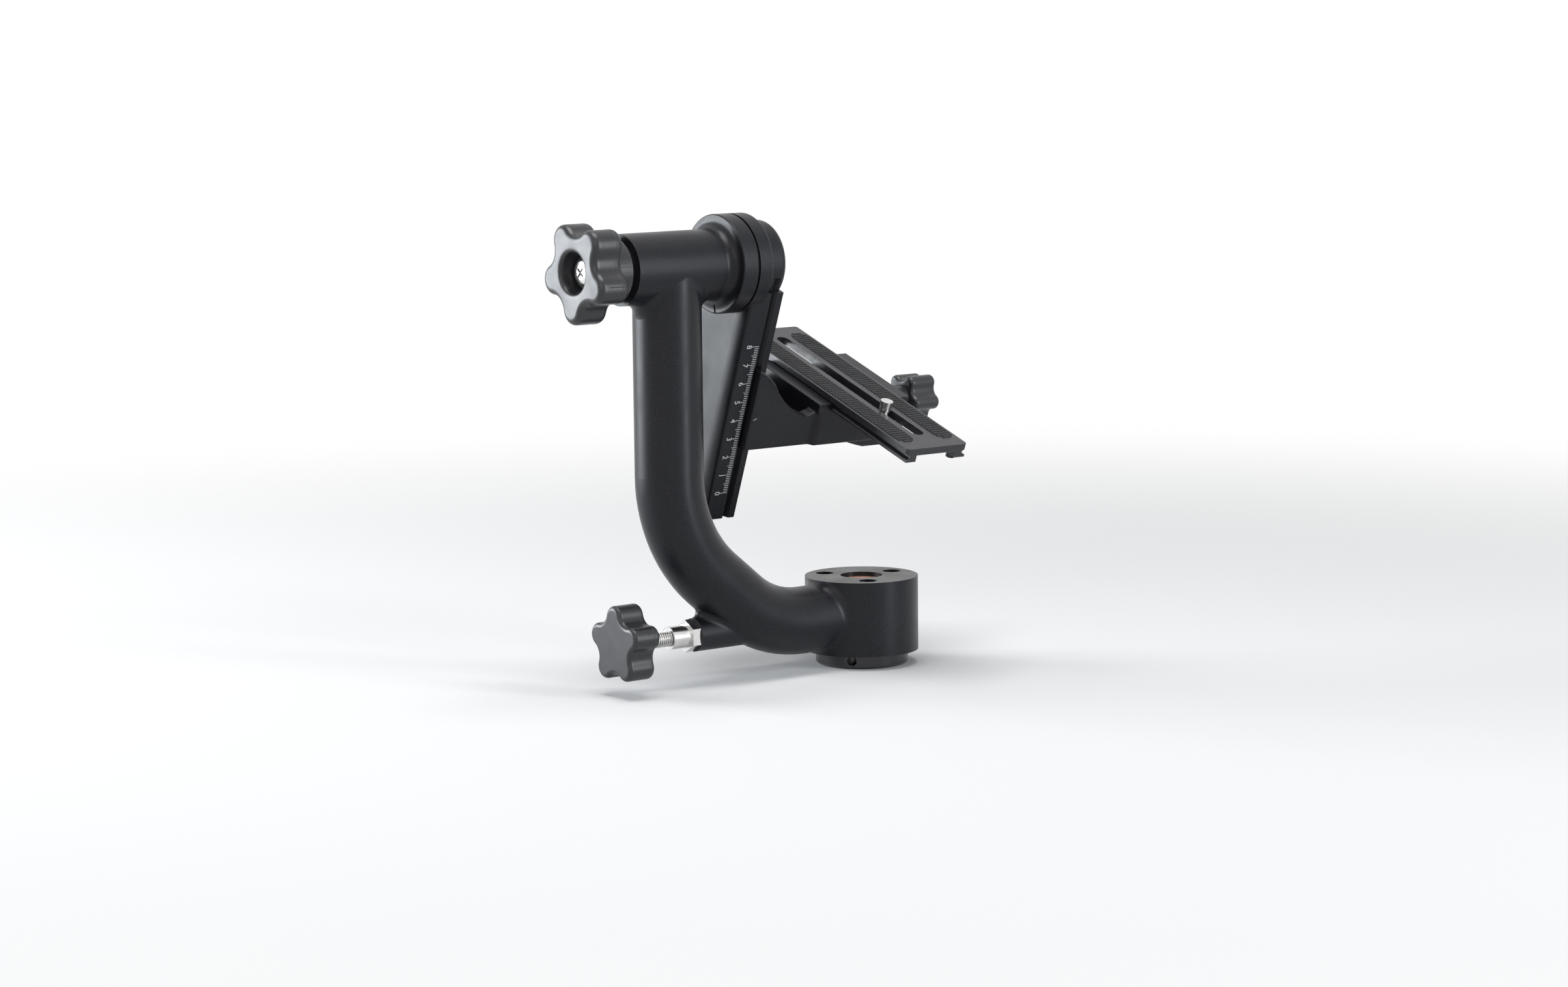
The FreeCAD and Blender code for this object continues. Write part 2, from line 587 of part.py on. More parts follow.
def near_hub(edge):
    """Edges where the lower run meets the hub."""
    box = edge.BoundBox
    inside = box.XMin > -size("hub_radius") - NEAR and box.XMax < 0
    return inside and box.ZMax < size("hub_top") - TOUCH and box.ZMin > size("hub_bottom") + TOUCH


def near_flange(edge):
    """The circle where the cross tube meets the rear of the flange."""
    box = edge.BoundBox
    at_plane = abs(box.XMin - size("flange_start")) < TOUCH and abs(box.XMax - size("flange_start")) < TOUCH
    return at_plane and box.ZLength < 2 * size("cross_radius") + NEAR


def flange_rim(edge):
    """The two outer circles of the flange."""
    box = edge.BoundBox
    return box.XLength < TOUCH and box.ZLength > 2 * size("flange_radius") - NEAR and \
        box.ZMin > size("tilt_axis_height") - size("flange_radius") - NEAR


def near_boss(edge):
    """Edges where the pan lock boss meets the bend."""
    box = edge.BoundBox
    run = size("run_height")
    inside = box.ZMax < run + size("boss_radius") + TOUCH and box.ZMin > run - size("boss_radius") - TOUCH
    return inside and size("boss_start") + NEAR < box.XMin and box.XMax < size("boss_root")


def hub_space():
    """Bearing bore, retainer recess, window and screw holes of the hub."""
    low = size("hub_bottom")
    high = size("hub_top")
    bore = rod(size("bearing_radius") + size("seat_gap"), low - PAST, high - size("hub_lid"), "z")
    recess = rod(size("retainer_radius") + size("free_gap"), low - PAST,
                 low + size("retainer_thickness"), "z")
    window = rod(size("window_radius"), high - size("hub_lid") - PAST, high + PAST, "z")
    space = bore.fuse([recess, window])
    for x, y in hub_screw_places():
        shank = size("hub_screw_radius") + size("free_gap")
        space = space.fuse(rod(shank, low, high, "z", x, y))
        space = space.fuse(rod(size("counterbore_radius"), high - size("counterbore_depth"), high + 1,
                               "z", x, y))
    return space


def hub_screw_places():
    """The three hub screws, the first one straight away from the arm."""
    places = []
    for step in range(HUB_SCREWS):
        angle = math.radians(step * FULL_TURN / HUB_SCREWS)
        reach = size("hub_screw_circle")
        places.append((reach * math.cos(angle), reach * math.sin(angle)))
    return places


def lock_tunnel():
    """The stepped bore of the pan lock, from the boss to the bearing space."""
    run = size("run_height")
    bush = rod(size("bush_radius") + size("seat_gap"), size("boss_start") - PAST,
               size("bush_end"), "x", 0, run)
    screw = rod(size("lock_screw_radius") + size("free_gap"), size("bush_end") - PAST,
                size("lock_screw_end") + 2, "x", 0, run)
    rod_bore = rod(size("rod_radius") + size("free_gap"), size("lock_screw_end") + PAST, 0, "x", 0, run)
    pad_bore = rod(size("lock_pad_radius") + size("running_gap"), pad_start() - size("pad_run"), 0,
                   "x", 0, run)
    return bush.fuse([screw, rod_bore, pad_bore])


def pad_start():
    """Outer end of the brass pad that bears on the brake drum."""
    return -size("drum_radius") - size("running_gap") - size("lock_pad_length")


def cross_bore():
    """Bearing seats and middle bore of the cross tube."""
    axis = size("tilt_axis_height")
    seat = size("bearing_radius") + size("seat_gap")
    left = rod(seat, size("cross_end") - PAST, size("left_bearing_start") + size("bearing_width"),
               "x", 0, axis)
    right = rod(seat, size("right_bearing_start"), size("flange_end") + PAST, "x", 0, axis)
    middle = rod(size("bearing_radius") - size("spacer_wall"), size("cross_end"), size("flange_end"),
                 "x", 0, axis)
    return left.fuse([right, middle])


def flange_slit():
    """The small slit in the rear of the flange, at its lowest point."""
    axis = size("tilt_axis_height")
    half = size("slit_half_width")
    low = (size("flange_start") - PAST, -half, axis - size("flange_radius") - PAST)
    high = (size("flange_start") + size("slit_depth"), half,
            axis - size("cross_radius") - size("slit_margin"))
    return block(low, high)


def build_hub_pieces():
    """Retainer, spacer and screws that hold the pan bearings."""
    low = size("hub_bottom")
    plate = rod(size("retainer_radius"), low, low + size("retainer_thickness"), "z")
    plate = plate.cut(rod(size("bearing_radius") - size("retainer_wall"), low - PAST,
                          low + size("retainer_thickness") + PAST, "z"))
    for x, y in hub_screw_places():
        plate = plate.cut(rod(size("hub_screw_radius") + size("seat_gap"), low - PAST,
                              low + size("retainer_thickness") + PAST, "z", x, y))
    part_feature("bearing_retainer", plate)
    start = size("lower_bearing_height") + size("bearing_width")
    spacer = rod(size("bearing_radius") - size("seat_gap"), start, size("upper_bearing_height"), "z")
    spacer = spacer.cut(rod(size("drum_radius") + size("drum_clearance"), start - PAST,
                            size("upper_bearing_height") + PAST, "z"))
    spacer = spacer.cut(rod(size("lock_pad_radius") + size("free_gap"), -size("hub_radius"), 0, "x", 0,
                            size("run_height")))
    part_feature("bearing_spacer", spacer)
    screws = [hub_screw(x, y) for x, y in hub_screw_places()]
    part_feature("hub_screws", Part.makeCompound(screws))


def hub_screw(x, y):
    """A socket-head screw standing on the floor of its counterbore."""
    seat = size("hub_top") - size("counterbore_depth")
    top = seat + size("hub_screw_head_height")
    head = rod(size("hub_screw_head_radius"), seat, top, "z", x, y)
    shank = rod(size("hub_screw_radius"), size("hub_bottom") + size("hub_screw_inset"), seat + PAST,
                "z", x, y)
    key = hexagon(size("hex_key_radius"), 0, size("hub_screw_head_height"))
    key.Placement = Placement(Vector(x, y, top - size("hex_key_depth")), Rotation(Vector(0, 1, 0), -90))
    return head.fuse(shank).removeSplitter().cut(key)


def knob_shape(radius, thickness, turn, edge):
    """A five-lobed knob from x = 0 to x = thickness, with rounded rims.

    Each lobe is an arc, joined to its neighbours by hollow arcs that touch it smoothly.
    """
    lobe = 0.3 * radius
    hollow = 0.34 * radius
    reach = radius - lobe
    half = math.pi / LOBES
    spread = reach * math.cos(half)
    far = spread + math.sqrt(spread ** 2 - reach ** 2 + (lobe + hollow) ** 2)
    edges = []
    for step in range(LOBES):
        angle = math.radians(turn) + 2 * step * half
        centre = polar(reach, angle)
        before = touch(centre, polar(far, angle - half), lobe, hollow)
        after = touch(centre, polar(far, angle + half), lobe, hollow)
        edges.append(Part.Arc(before, polar(radius, angle), after).toShape())
        following = touch(polar(reach, angle + 2 * half), polar(far, angle + half), lobe, hollow)
        edges.append(Part.Arc(after, polar(far - hollow, angle + half), following).toShape())
    knob = Part.Face(Part.Wire(edges)).extrude(Vector(thickness, 0, 0))
    rims = [rim for rim in knob.Edges if rim.BoundBox.XLength < thickness / 2]
    return knob.makeFillet(edge, rims)


def polar(radius, angle):
    """A point of a knob's outline; the angle runs from -Y towards +Z."""
    return Vector(0, -radius * math.cos(angle), radius * math.sin(angle))


def touch(centre, other, lobe, hollow):
    """The point where a lobe's arc meets the hollow arc beside it."""
    return centre + (other - centre) * (lobe / (lobe + hollow))


def moved(shape, x=0.0, y=0.0, z=0.0):
    """A copy of a shape, moved."""
    copy = shape.copy()
    copy.translate(Vector(x, y, z))
    return copy


def build_pan_lock():
    """Bush, screw with knob, rod and pad of the pan lock."""
    run = size("run_height")
    bush = rod(size("bush_radius"), size("bush_start"), size("bush_end"), "x", 0, run)
    bush = bush.fuse(hexagon(size("bush_hex_radius"), size("bush_hex_start"), size("boss_start"), run))
    bush = bush.removeSplitter().cut(rod(size("lock_screw_radius") + size("running_gap"),
                                         size("bush_start") - PAST, size("bush_end") + PAST, "x", 0, run))
    part_feature("pan_lock_bush", bush)
    knob_end = size("pan_knob_face") + size("pan_knob_thickness")
    screw = rod(size("lock_screw_radius"), knob_end - size("knob_grip"), size("lock_screw_end"), "x", 0, run)
    part_feature("pan_lock_screw", screw)
    knob = knob_shape(size("pan_knob_radius"), size("pan_knob_thickness"), size("pan_knob_turn"),
                      size("pan_knob_round"))
    knob = moved(knob, size("pan_knob_face"), 0, run)
    neck = rod(size("lock_screw_radius") + size("knob_neck_wall"), knob_end - PAST,
               knob_end + size("knob_neck_length"), "x", 0, run)
    knob = knob.fuse(neck).removeSplitter()
    knob = knob.cut(rod(size("lock_screw_radius") + size("seat_gap"), knob_end - size("knob_grip"),
                       knob_end + size("knob_neck_length") + PAST, "x", 0, run))
    part_feature("pan_lock_knob", knob)
    part_feature("pan_lock_rod", rod(size("rod_radius"), size("lock_screw_end") + size("seat_gap"),
                                     pad_start(), "x", 0, run))
    pad = rod(size("lock_pad_radius"), pad_start(), 0, "x", 0, run)
    pad = pad.cut(rod(size("drum_radius") + size("running_gap"), 0, size("hub_top"), "z"))
    part_feature("pan_lock_pad", pad)


def build_tilt_pieces():
    """Bearings, shaft, spacer and friction disc of the tilt axis."""
    stand = along_x(size("tilt_axis_height"))
    bearing("tilt_left", size("left_bearing_start"), stand, True)
    bearing("tilt_right", size("right_bearing_start"), stand, True)
    ring("tilt_spacer", "journal_radius + running_gap", "journal_radius + spacer_wall",
         "left_bearing_start + bearing_width", "right_bearing_start", along_x(), True)
    turned("tilt_shaft", [
        ("0", "tilt_knob_face + dish_depth + knob_web"),
        ("tilt_thread_radius", "tilt_knob_face + dish_depth + knob_web"),
        ("tilt_thread_radius", "tilt_knob_face + tilt_knob_thickness + shaft_step"),
        ("journal_radius", "tilt_knob_face + tilt_knob_thickness + 2 * shaft_step"),
        ("journal_radius", "arm_right + shaft_nut_height"),
        ("0", "arm_right + shaft_nut_height"),
    ], along_x(), True)
    ring("friction_disc", "journal_radius + running_gap", "friction_radius",
         "flange_end + running_gap", "flange_end + friction_thickness - running_gap", along_x(), True)
    nut = hexagon(size("shaft_nut_radius"), size("arm_right"), size("arm_right") + size("shaft_nut_height"))
    nut = nut.cut(rod(size("journal_radius") + size("seat_gap"), size("arm_right") - PAST, 0, "x"))
    part_feature("shaft_nut", nut, None, True)


def build_swing_arm():
    """The hanging arm: round head, scale strip and rail, and the bore for the shaft."""
    foot = -size("arm_length")
    outline = arm_section(foot)
    bar = outline.extrude(Vector(0, 0, size("arm_length") - size("rail_drop")))
    bar = bar.cut(foot_corner(foot))
    rail_head = rod(size("arm_half_width"), size("boss_disc_end") - PAST, size("arm_right"), "x")
    rail_head = blend(rail_head, size("head_round"), inner_rim, "the inner edge of the head")
    disc = rod(size("flange_radius"), size("flange_end") + size("friction_thickness"),
               size("boss_disc_end"), "x")
    shape = bar.fuse([rail_head, disc]).removeSplitter().cut(rail_grooves(foot))
    shape = blend(shape, size("flange_edge"), disc_rim, "the head of the swing arm")
    shape = shape.cut(rod(size("journal_radius") + size("seat_gap"), size("flange_end") - PAST, 0, "x"))
    part_feature("swing_arm", shape, None, True)


def arm_section(height):
    """Cross-section of the swing arm, with its rail grooves and round corners."""
    wide = size("arm_half_width")
    neck = wide - size("groove_depth")
    left = size("flange_end") + size("friction_thickness")
    corner = size("arm_corner")
    rise = left + size("arm_corner_rise")
    points = [
        (rise, -wide),
        (size("arm_step"), -wide),
        (size("arm_groove"), -neck),
        (size("arm_lip"), -wide),
        (size("arm_right"), -wide),
        (size("arm_right"), wide),
        (size("arm_lip"), wide),
        (size("arm_groove"), neck),
        (size("arm_step"), wide),
        (rise, wide),
    ]
    corners = [Vector(x, y, height) for x, y in points]
    edges = [Part.LineSegment(a, b).toShape() for a, b in zip(corners, corners[1:])]
    rear = Vector(left, wide - corner, height)
    front = Vector(left, corner - wide, height)
    edges.append(oval_quarter(corners[-1], rear))
    edges.append(Part.LineSegment(rear, front).toShape())
    edges.append(oval_quarter(corners[0], front))
    return Part.Face(Part.Wire(edges))


def oval_quarter(side, face):
    """A quarter of an ellipse from the side of a bar, where it is steep, to its face."""
    ellipse = Part.Ellipse(side, face, Vector(side.x, face.y, side.z))
    return Part.ArcOfEllipse(ellipse, 0, math.pi / 2).toShape()


def rail_grooves(foot):
    """The grooves on both sides of the rail, from the foot up to the tilt axis."""
    wide = size("arm_half_width")
    grooves = []
    for side in (-1, 1):
        points = [
            Vector(size("arm_step"), side * wide, foot),
            Vector(size("arm_step"), side * (wide + PAST), foot),
            Vector(size("arm_lip"), side * (wide + PAST), foot),
            Vector(size("arm_lip"), side * wide, foot),
            Vector(size("arm_groove"), side * (wide - size("groove_depth")), foot),
        ]
        face = Part.Face(Part.makePolygon(points + points[:1]))
        grooves.append(face.extrude(Vector(0, 0, size("arm_length"))))
    return grooves[0].fuse(grooves[1])


def foot_corner(foot):
    """The wedge that slants the outer corner of the foot."""
    left = size("flange_end") + size("friction_thickness")
    cut = size("arm_foot_cut")
    wide = size("arm_half_width") + PAST
    points = [
        Vector(left - PAST, -wide, foot - PAST),
        Vector(left + 0.6 * cut, -wide, foot - PAST),
        Vector(left + size("foot_toe") * cut, -wide, foot),
        Vector(left, -wide, foot + cut),
        Vector(left - PAST, -wide, foot + cut + 2 * PAST),
    ]
    return Part.Face(Part.makePolygon(points + points[:1])).extrude(Vector(0, 2 * wide, 0))


def inner_rim(edge):
    """The circle on the inner side of the head of the swing arm."""
    box = edge.BoundBox
    return box.XLength < TOUCH and abs(box.XMax - size("arm_right")) < TOUCH


def disc_rim(edge):
    """The inner circle of the round head."""
    box = edge.BoundBox
    return box.XLength < TOUCH and abs(box.XMax - size("boss_disc_end")) < TOUCH and \
        box.ZMax > size("flange_radius") - TOUCH


def bracket_outline(y):
    """Front outline of the L-shaped bracket, with its scooped web."""
    left = size("carriage_left")
    top = size("carriage_top")
    low = size("carriage_bottom")
    deep = size("clamp_bottom")
    bed = size("bed_height")
    end = size("clamp_block_end")
    back = size("carriage_back")
    names = {
        "top_left": (left, top),
        "top_right": (left + size("lip_width"), top - size("lip_drop")),
        "scoop_start": (back, top - size("scoop_drop")),
        "scoop_middle": (size("scoop_middle"), size("scoop_middle_height")),
        "scoop_end": (size("scoop_end"), size("scoop_end_height")),
        "bed_start": (-size("jaw_outer"), bed - PAST),
        "bed_end": (end, bed - PAST),
        "deep_right": (end, deep),
        "deep_left": (size("swell_end"), deep),
        "swell": (size("swell_middle"), 0.5 * (low + deep)),
        "swell_start": (size("swell_start"), low),
        "bottom_left": (left, low),
    }
    point = {name: Vector(x, y, z) for name, (x, z) in names.items()}
    edges = [
        Part.LineSegment(point["top_left"], point["top_right"]),
        Part.LineSegment(point["top_right"], point["scoop_start"]),
        Part.Arc(point["scoop_start"], point["scoop_middle"], point["scoop_end"]),
        Part.LineSegment(point["scoop_end"], point["bed_start"]),
        Part.LineSegment(point["bed_start"], point["bed_end"]),
        Part.LineSegment(point["bed_end"], point["deep_right"]),
        Part.LineSegment(point["deep_right"], point["deep_left"]),
        Part.LineSegment(point["deep_left"], point["swell"]),
        Part.LineSegment(point["swell"], point["swell_start"]),
        Part.LineSegment(point["swell_start"], point["bottom_left"]),
        Part.LineSegment(point["bottom_left"], point["top_left"]),
    ]
    return Part.Face(Part.Wire([edge.toShape() for edge in edges]))


def build_bracket():
    """The carriage: an L-shaped bracket that slides on the arm and carries the clamp."""
    wide = size("carriage_half_width")
    web = size("gusset_thickness")
    shape = bracket_outline(-wide).extrude(Vector(0, 2 * wide, 0))
    inner_end = -size("jaw_outer")
    hollow = block((size("carriage_back"), web - wide, size("floor_height")),
                   (inner_end, wide - web, size("carriage_top") + PAST))
    corners = [edge for edge in hollow.Edges if edge.BoundBox.YLength > wide and
               edge.BoundBox.ZMax < size("floor_height") + 1]
    shape = shape.cut(hollow.makeFillet(size("web_round"), corners))
    shape = shape.fuse(clamp_block()).removeSplitter()
    shape = shape.cut(rail_channel()).cut(bracket_holes())
    part_feature("carriage_bracket", shape, None, True)


def block_edge(edge):
    """Upright edges of the clamp block on the arm's side."""
    box = edge.BoundBox
    return box.ZLength > 1 and box.XLength < 0.01 and box.XMax < 0


def clamp_block():
    """Clamp bed with the fixed jaw on the arm's side."""
    reach = size("clamp_half_length")
    outer = -size("jaw_outer")
    bed = size("bed_height")
    deep = size("carriage_bottom")
    base = block((outer, -reach, deep), (size("clamp_block_end"), reach, bed))
    base = blend(base, size("block_round"), block_edge, "the clamp block")
    rail = jaw_section(-1, outer, bed - PAST, -reach).extrude(Vector(0, 2 * reach, 0))
    return base.fuse(rail).removeSplitter()


def groove_middle():
    """Height of the middle of the plate's side grooves."""
    low = size("plate_top") - size("plate_height") + size("plate_lip")
    return 0.5 * (size("plate_top") - size("plate_edge") + low)


def jaw_section(side, outer, low, y):
    """Section of a jaw whose tongue enters the side groove of the plate."""
    gap = size("running_gap")
    edge = size("plate_half_width") + gap
    tongue = size("plate_half_width") - size("plate_groove") + 2 * gap
    top = size("jaw_top")
    middle = groove_middle()
    tip = 0.5 * size("groove_floor") - 2 * gap
    points = [
        (outer, low),
        (outer, top),
        (side * edge, top),
        (side * tongue, middle + tip),
        (side * tongue, middle - tip),
        (side * edge, size("plate_top") - size("plate_height") + size("plate_lip") + gap),
        (side * edge, low),
    ]
    corners = [Vector(x, y, z) for x, z in points]
    return Part.Face(Part.makePolygon(corners + corners[:1]))


def rail_channel():
    """The space in the carriage that takes the arm's rail."""
    gap = size("running_gap")
    wide = size("arm_half_width") + gap
    neck = wide - size("groove_depth")
    low = size("clamp_bottom") - PAST
    height = size("carriage_top") + PAST - low
    half = [
        (2 * size("arm_step") - size("arm_groove"), wide + size("groove_depth")),
        (size("arm_groove"), neck),
        (size("arm_lip"), wide),
        (size("arm_right") + gap, wide),
    ]
    points = half + [(x, -y) for x, y in reversed(half)]
    corners = [Vector(x, y, low) for x, y in points]
    return Part.Face(Part.makePolygon(corners + corners[:1])).extrude(Vector(0, 0, height))


def bracket_holes():
    """Bores of the clamp screw, guide pins and height lock."""
    axis = size("clamp_axis_height")
    end = size("clamp_block_end") + PAST
    gap = size("running_gap")
    start = size("clamp_screw_start") - size("clamp_screw_run")
    space = rod(size("clamp_screw_radius") + gap, start, end, "x", 0, axis)
    for side in (-1, 1):
        pin = rod(size("guide_pin_radius") + gap, size("clamp_block_end") - size("guide_pin_length"),
                  end, "x", side * size("guide_pin_offset"), axis)
        space = space.fuse(pin)
    lip = 0.5 * (size("arm_lip") + size("arm_right"))
    height = size("height_lock_height")
    inner = size("arm_half_width")
    pad_end = inner + size("height_pad_length") + PAST
    pad = rod(size("height_pad_radius") + gap, inner, pad_end, "y", lip, height)
    screw = rod(size("height_lock_radius") + gap, inner, size("carriage_half_width") + PAST, "y", lip, height)
    return space.fuse([pad, screw])


def build_clamp():
    """Moving jaw with guide pins, clamp screw and knob."""
    reach = size("clamp_half_length")
    outer = size("moving_jaw_end")
    start = size("clamp_block_end") + size("running_gap")
    axis = size("clamp_axis_height")
    jaw = jaw_section(1, outer, size("bed_height") + size("running_gap"), -reach)
    jaw = jaw.extrude(Vector(0, 2 * reach, 0))
    body = block((start, -reach, size("moving_jaw_bottom")), (outer, reach, size("bed_height") + PAST))
    jaw = jaw.fuse(body).removeSplitter()
    hole_radius = size("clamp_screw_radius") + size("running_gap")
    jaw = jaw.cut(rod(hole_radius, start - PAST, outer + PAST, "x", 0, axis))
    for side in (-1, 1):
        jaw = jaw.cut(rod(size("guide_pin_radius") + size("seat_gap"), start - PAST,
                          start + size("guide_pin_seat"), "x",
                          side * size("guide_pin_offset"), axis))
    part_feature("clamp_jaw", jaw, None, True)
    for side, name in ((-1, "front"), (1, "rear")):
        pin = rod(size("guide_pin_radius"), start + size("guide_pin_seat") - size("guide_pin_length"),
                  start + size("guide_pin_seat"), "x",
                  side * size("guide_pin_offset"), axis)
        part_feature("guide_pin_" + name, pin, None, True)
    knob_start = size("clamp_knob_start")
    part_feature("clamp_screw", rod(size("clamp_screw_radius"), size("clamp_screw_start"),
                                    knob_start + size("clamp_knob_grip"),
                                    "x", 0, axis), None, True)
    knob = knob_shape(size("clamp_knob_radius"), size("clamp_knob_thickness"), size("clamp_knob_turn"),
                      size("clamp_knob_round"))
    neck = rod(size("clamp_neck_radius"), outer + size("running_gap") - knob_start, 1, "x")
    knob = knob.fuse(neck).removeSplitter()
    knob = knob.cut(rod(size("clamp_screw_radius") + size("seat_gap"), outer - knob_start - PAST,
                        size("clamp_knob_grip"), "x"))
    part_feature("clamp_knob", moved(knob, knob_start, 0, axis), None, True)


def plate_section(y):
    """Section of the quick-release plate: edge, side grooves and open channel."""
    wide = size("plate_half_width")
    top = size("plate_top")
    low = top - size("plate_height")
    half = [
        (wide, top),
        (wide, top - size("plate_edge")),
        (wide - size("plate_groove"), groove_middle() + 0.5 * size("groove_floor")),
        (wide - size("plate_groove"), groove_middle() - 0.5 * size("groove_floor")),
        (wide - size("lip_inset"), low + size("plate_lip")),
        (wide - size("lip_inset"), low),
        (size("channel_half_width"), low),
        (size("channel_half_width"), top - size("plate_skin")),
    ]
    points = half + [(-x, z) for x, z in reversed(half)]
    corners = [Vector(x, y, z) for x, z in points]
    return Part.Face(Part.makePolygon(corners + corners[:1]))


def long_hole(inner, outer, front, rear, low, high):
    """A straight slot with round ends along Y, between two heights."""
    middle = 0.5 * (inner + outer)
    radius = 0.5 * (outer - inner)
    start = rod(radius, low, high, "z", middle, front + radius)
    stop = rod(radius, low, high, "z", middle, rear - radius)
    bar = block((inner, front + radius, low), (outer, rear - radius, high))
    return bar.fuse([start, stop]).removeSplitter()


def build_plate():
    """Quick-release plate with rubber strips and stop screws."""
    top = size("plate_top")
    plate = plate_section(size("plate_front")).extrude(Vector(0, size("plate_length"), 0))
    uprights = [edge for edge in plate.Edges if edge.BoundBox.ZMax > top - 0.01 and
                edge.BoundBox.ZLength > 1 and edge.BoundBox.XLength < 0.01 and edge.BoundBox.YLength < 0.01]
    plate = plate.makeFillet(size("plate_corner"), uprights)
    plate = plate.cut(long_hole(-size("slot_half_width"), size("slot_half_width"), size("slot_front"),
                                size("slot_rear"), top - size("plate_height"), top + PAST))
    for side in (-1, 1):
        low, high = sorted((side * size("pad_inner"), side * size("pad_outer")))
        plate = plate.cut(long_hole(low, high, size("pad_front"), size("pad_rear"),
                                    top - size("pad_recess"), top + PAST))
    for side, name in ((1, "front"), (-1, "rear")):
        x, y = stop_place(side)
        hole = rod(size("stop_shank_radius"), top - size("plate_height") - PAST,
                   top - size("stop_hole_top"), "z", x, y)
        plate = plate.cut(hole)
        build_stop(x, y, name)
    part_feature("qr_plate", plate, None, True)
    for side, name in ((-1, "left"), (1, "right")):
        gap = size("pad_gap")
        low, high = sorted((side * (size("pad_inner") + gap), side * (size("pad_outer") - gap)))
        strip = long_hole(low, high, size("pad_front") + gap, size("pad_rear") - gap,
                          top - size("pad_recess"), top + size("pad_proud"))
        part_feature("rubber_strip_" + name, strip, None, True)


def stop_place(side):
    """Place of a stop screw: front right or rear left."""
    front = size("plate_front") + size("stop_inset")
    rear = size("plate_front") + size("plate_length") - size("stop_inset")
    return side * size("stop_offset"), front if side > 0 else rear


def build_stop(x, y, name):
    """A stop screw: a low head under the plate and its shank."""
    low = size("plate_top") - size("plate_height")
    head = rod(size("stop_radius"), low - size("stop_height"), low, "z", x, y)
    shank = rod(size("stop_shank_radius") - size("seat_gap"), low - PAST,
                size("plate_top") - size("stop_hole_top") - size("pad_gap"), "z", x, y)
    part_feature("stop_screw_" + name, head.fuse(shank).removeSplitter(), None, True)


def build_camera_screw():
    """The screw that holds a lens foot or camera, with its washer."""
    y = size("camera_screw_place")
    skin = size("plate_top") - size("plate_skin")
    radius = size("camera_screw_radius")
    washer = rod(size("camera_head_radius"), skin - size("washer_thickness") - size("running_gap"),
                 skin - size("running_gap"), "z", 0, y)
    washer = washer.cut(rod(radius + size("running_gap"), skin - size("plate_skin"), skin + PAST, "z", 0, y))
    part_feature("camera_washer", washer, None, True)
    seat = skin - size("washer_thickness") - 2 * size("running_gap")
    foot = seat - size("camera_head_height")
    head = rod(size("camera_head_radius") - size("head_set_back"), foot, seat, "z", 0, y)
    half = size("coin_slit_half_width")
    slit = block((-half, y - size("camera_head_radius"), seat - size("camera_head_height") - PAST),
                 (half, y + size("camera_head_radius"),
                  seat - size("camera_head_height") + size("coin_slit_depth")))
    stud = rod(radius, size("plate_top"), size("plate_top") + size("camera_screw_proud"), "z", 0, y)
    neck = rod(size("neck_radius"), seat - PAST, size("plate_top") + PAST, "z", 0, y)
    screw = head.fuse([neck, stud]).removeSplitter().cut(slit)
    part_feature("camera_screw", screw, None, True)


def build_height_lock():
    """Pad, screw and knob that lock the carriage on the arm."""
    lip = 0.5 * (size("arm_lip") + size("arm_right"))
    height = size("height_lock_height")
    start = size("arm_half_width") + size("running_gap")
    pad_end = start + size("height_pad_length")
    part_feature("height_lock_pad", rod(size("height_pad_radius"), start, pad_end, "y", lip, height),
                 None, True)
    knob_start = size("height_knob_start")
    screw = rod(size("height_lock_radius"), pad_end + size("seat_gap"),
                knob_start + size("height_knob_grip"), "y", lip, height)
    part_feature("height_lock_screw", screw, None, True)
    knob = knob_shape(size("height_knob_radius"), size("height_knob_thickness"),
                      size("height_knob_turn"), size("height_knob_round"))
    neck = rod(size("height_lock_radius") + size("height_neck_wall"),
               size("carriage_half_width") + size("height_neck_gap") - knob_start, 1, "x")
    knob = knob.fuse(neck).removeSplitter()
    knob = knob.cut(rod(size("height_lock_radius") + size("seat_gap"), -size("height_knob_start"),
                        size("height_knob_grip"), "x"))
    knob.rotate(Vector(0, 0, 0), Vector(0, 0, 1), 90)
    part_feature("height_lock_knob", moved(knob, lip, knob_start, height), None, True)


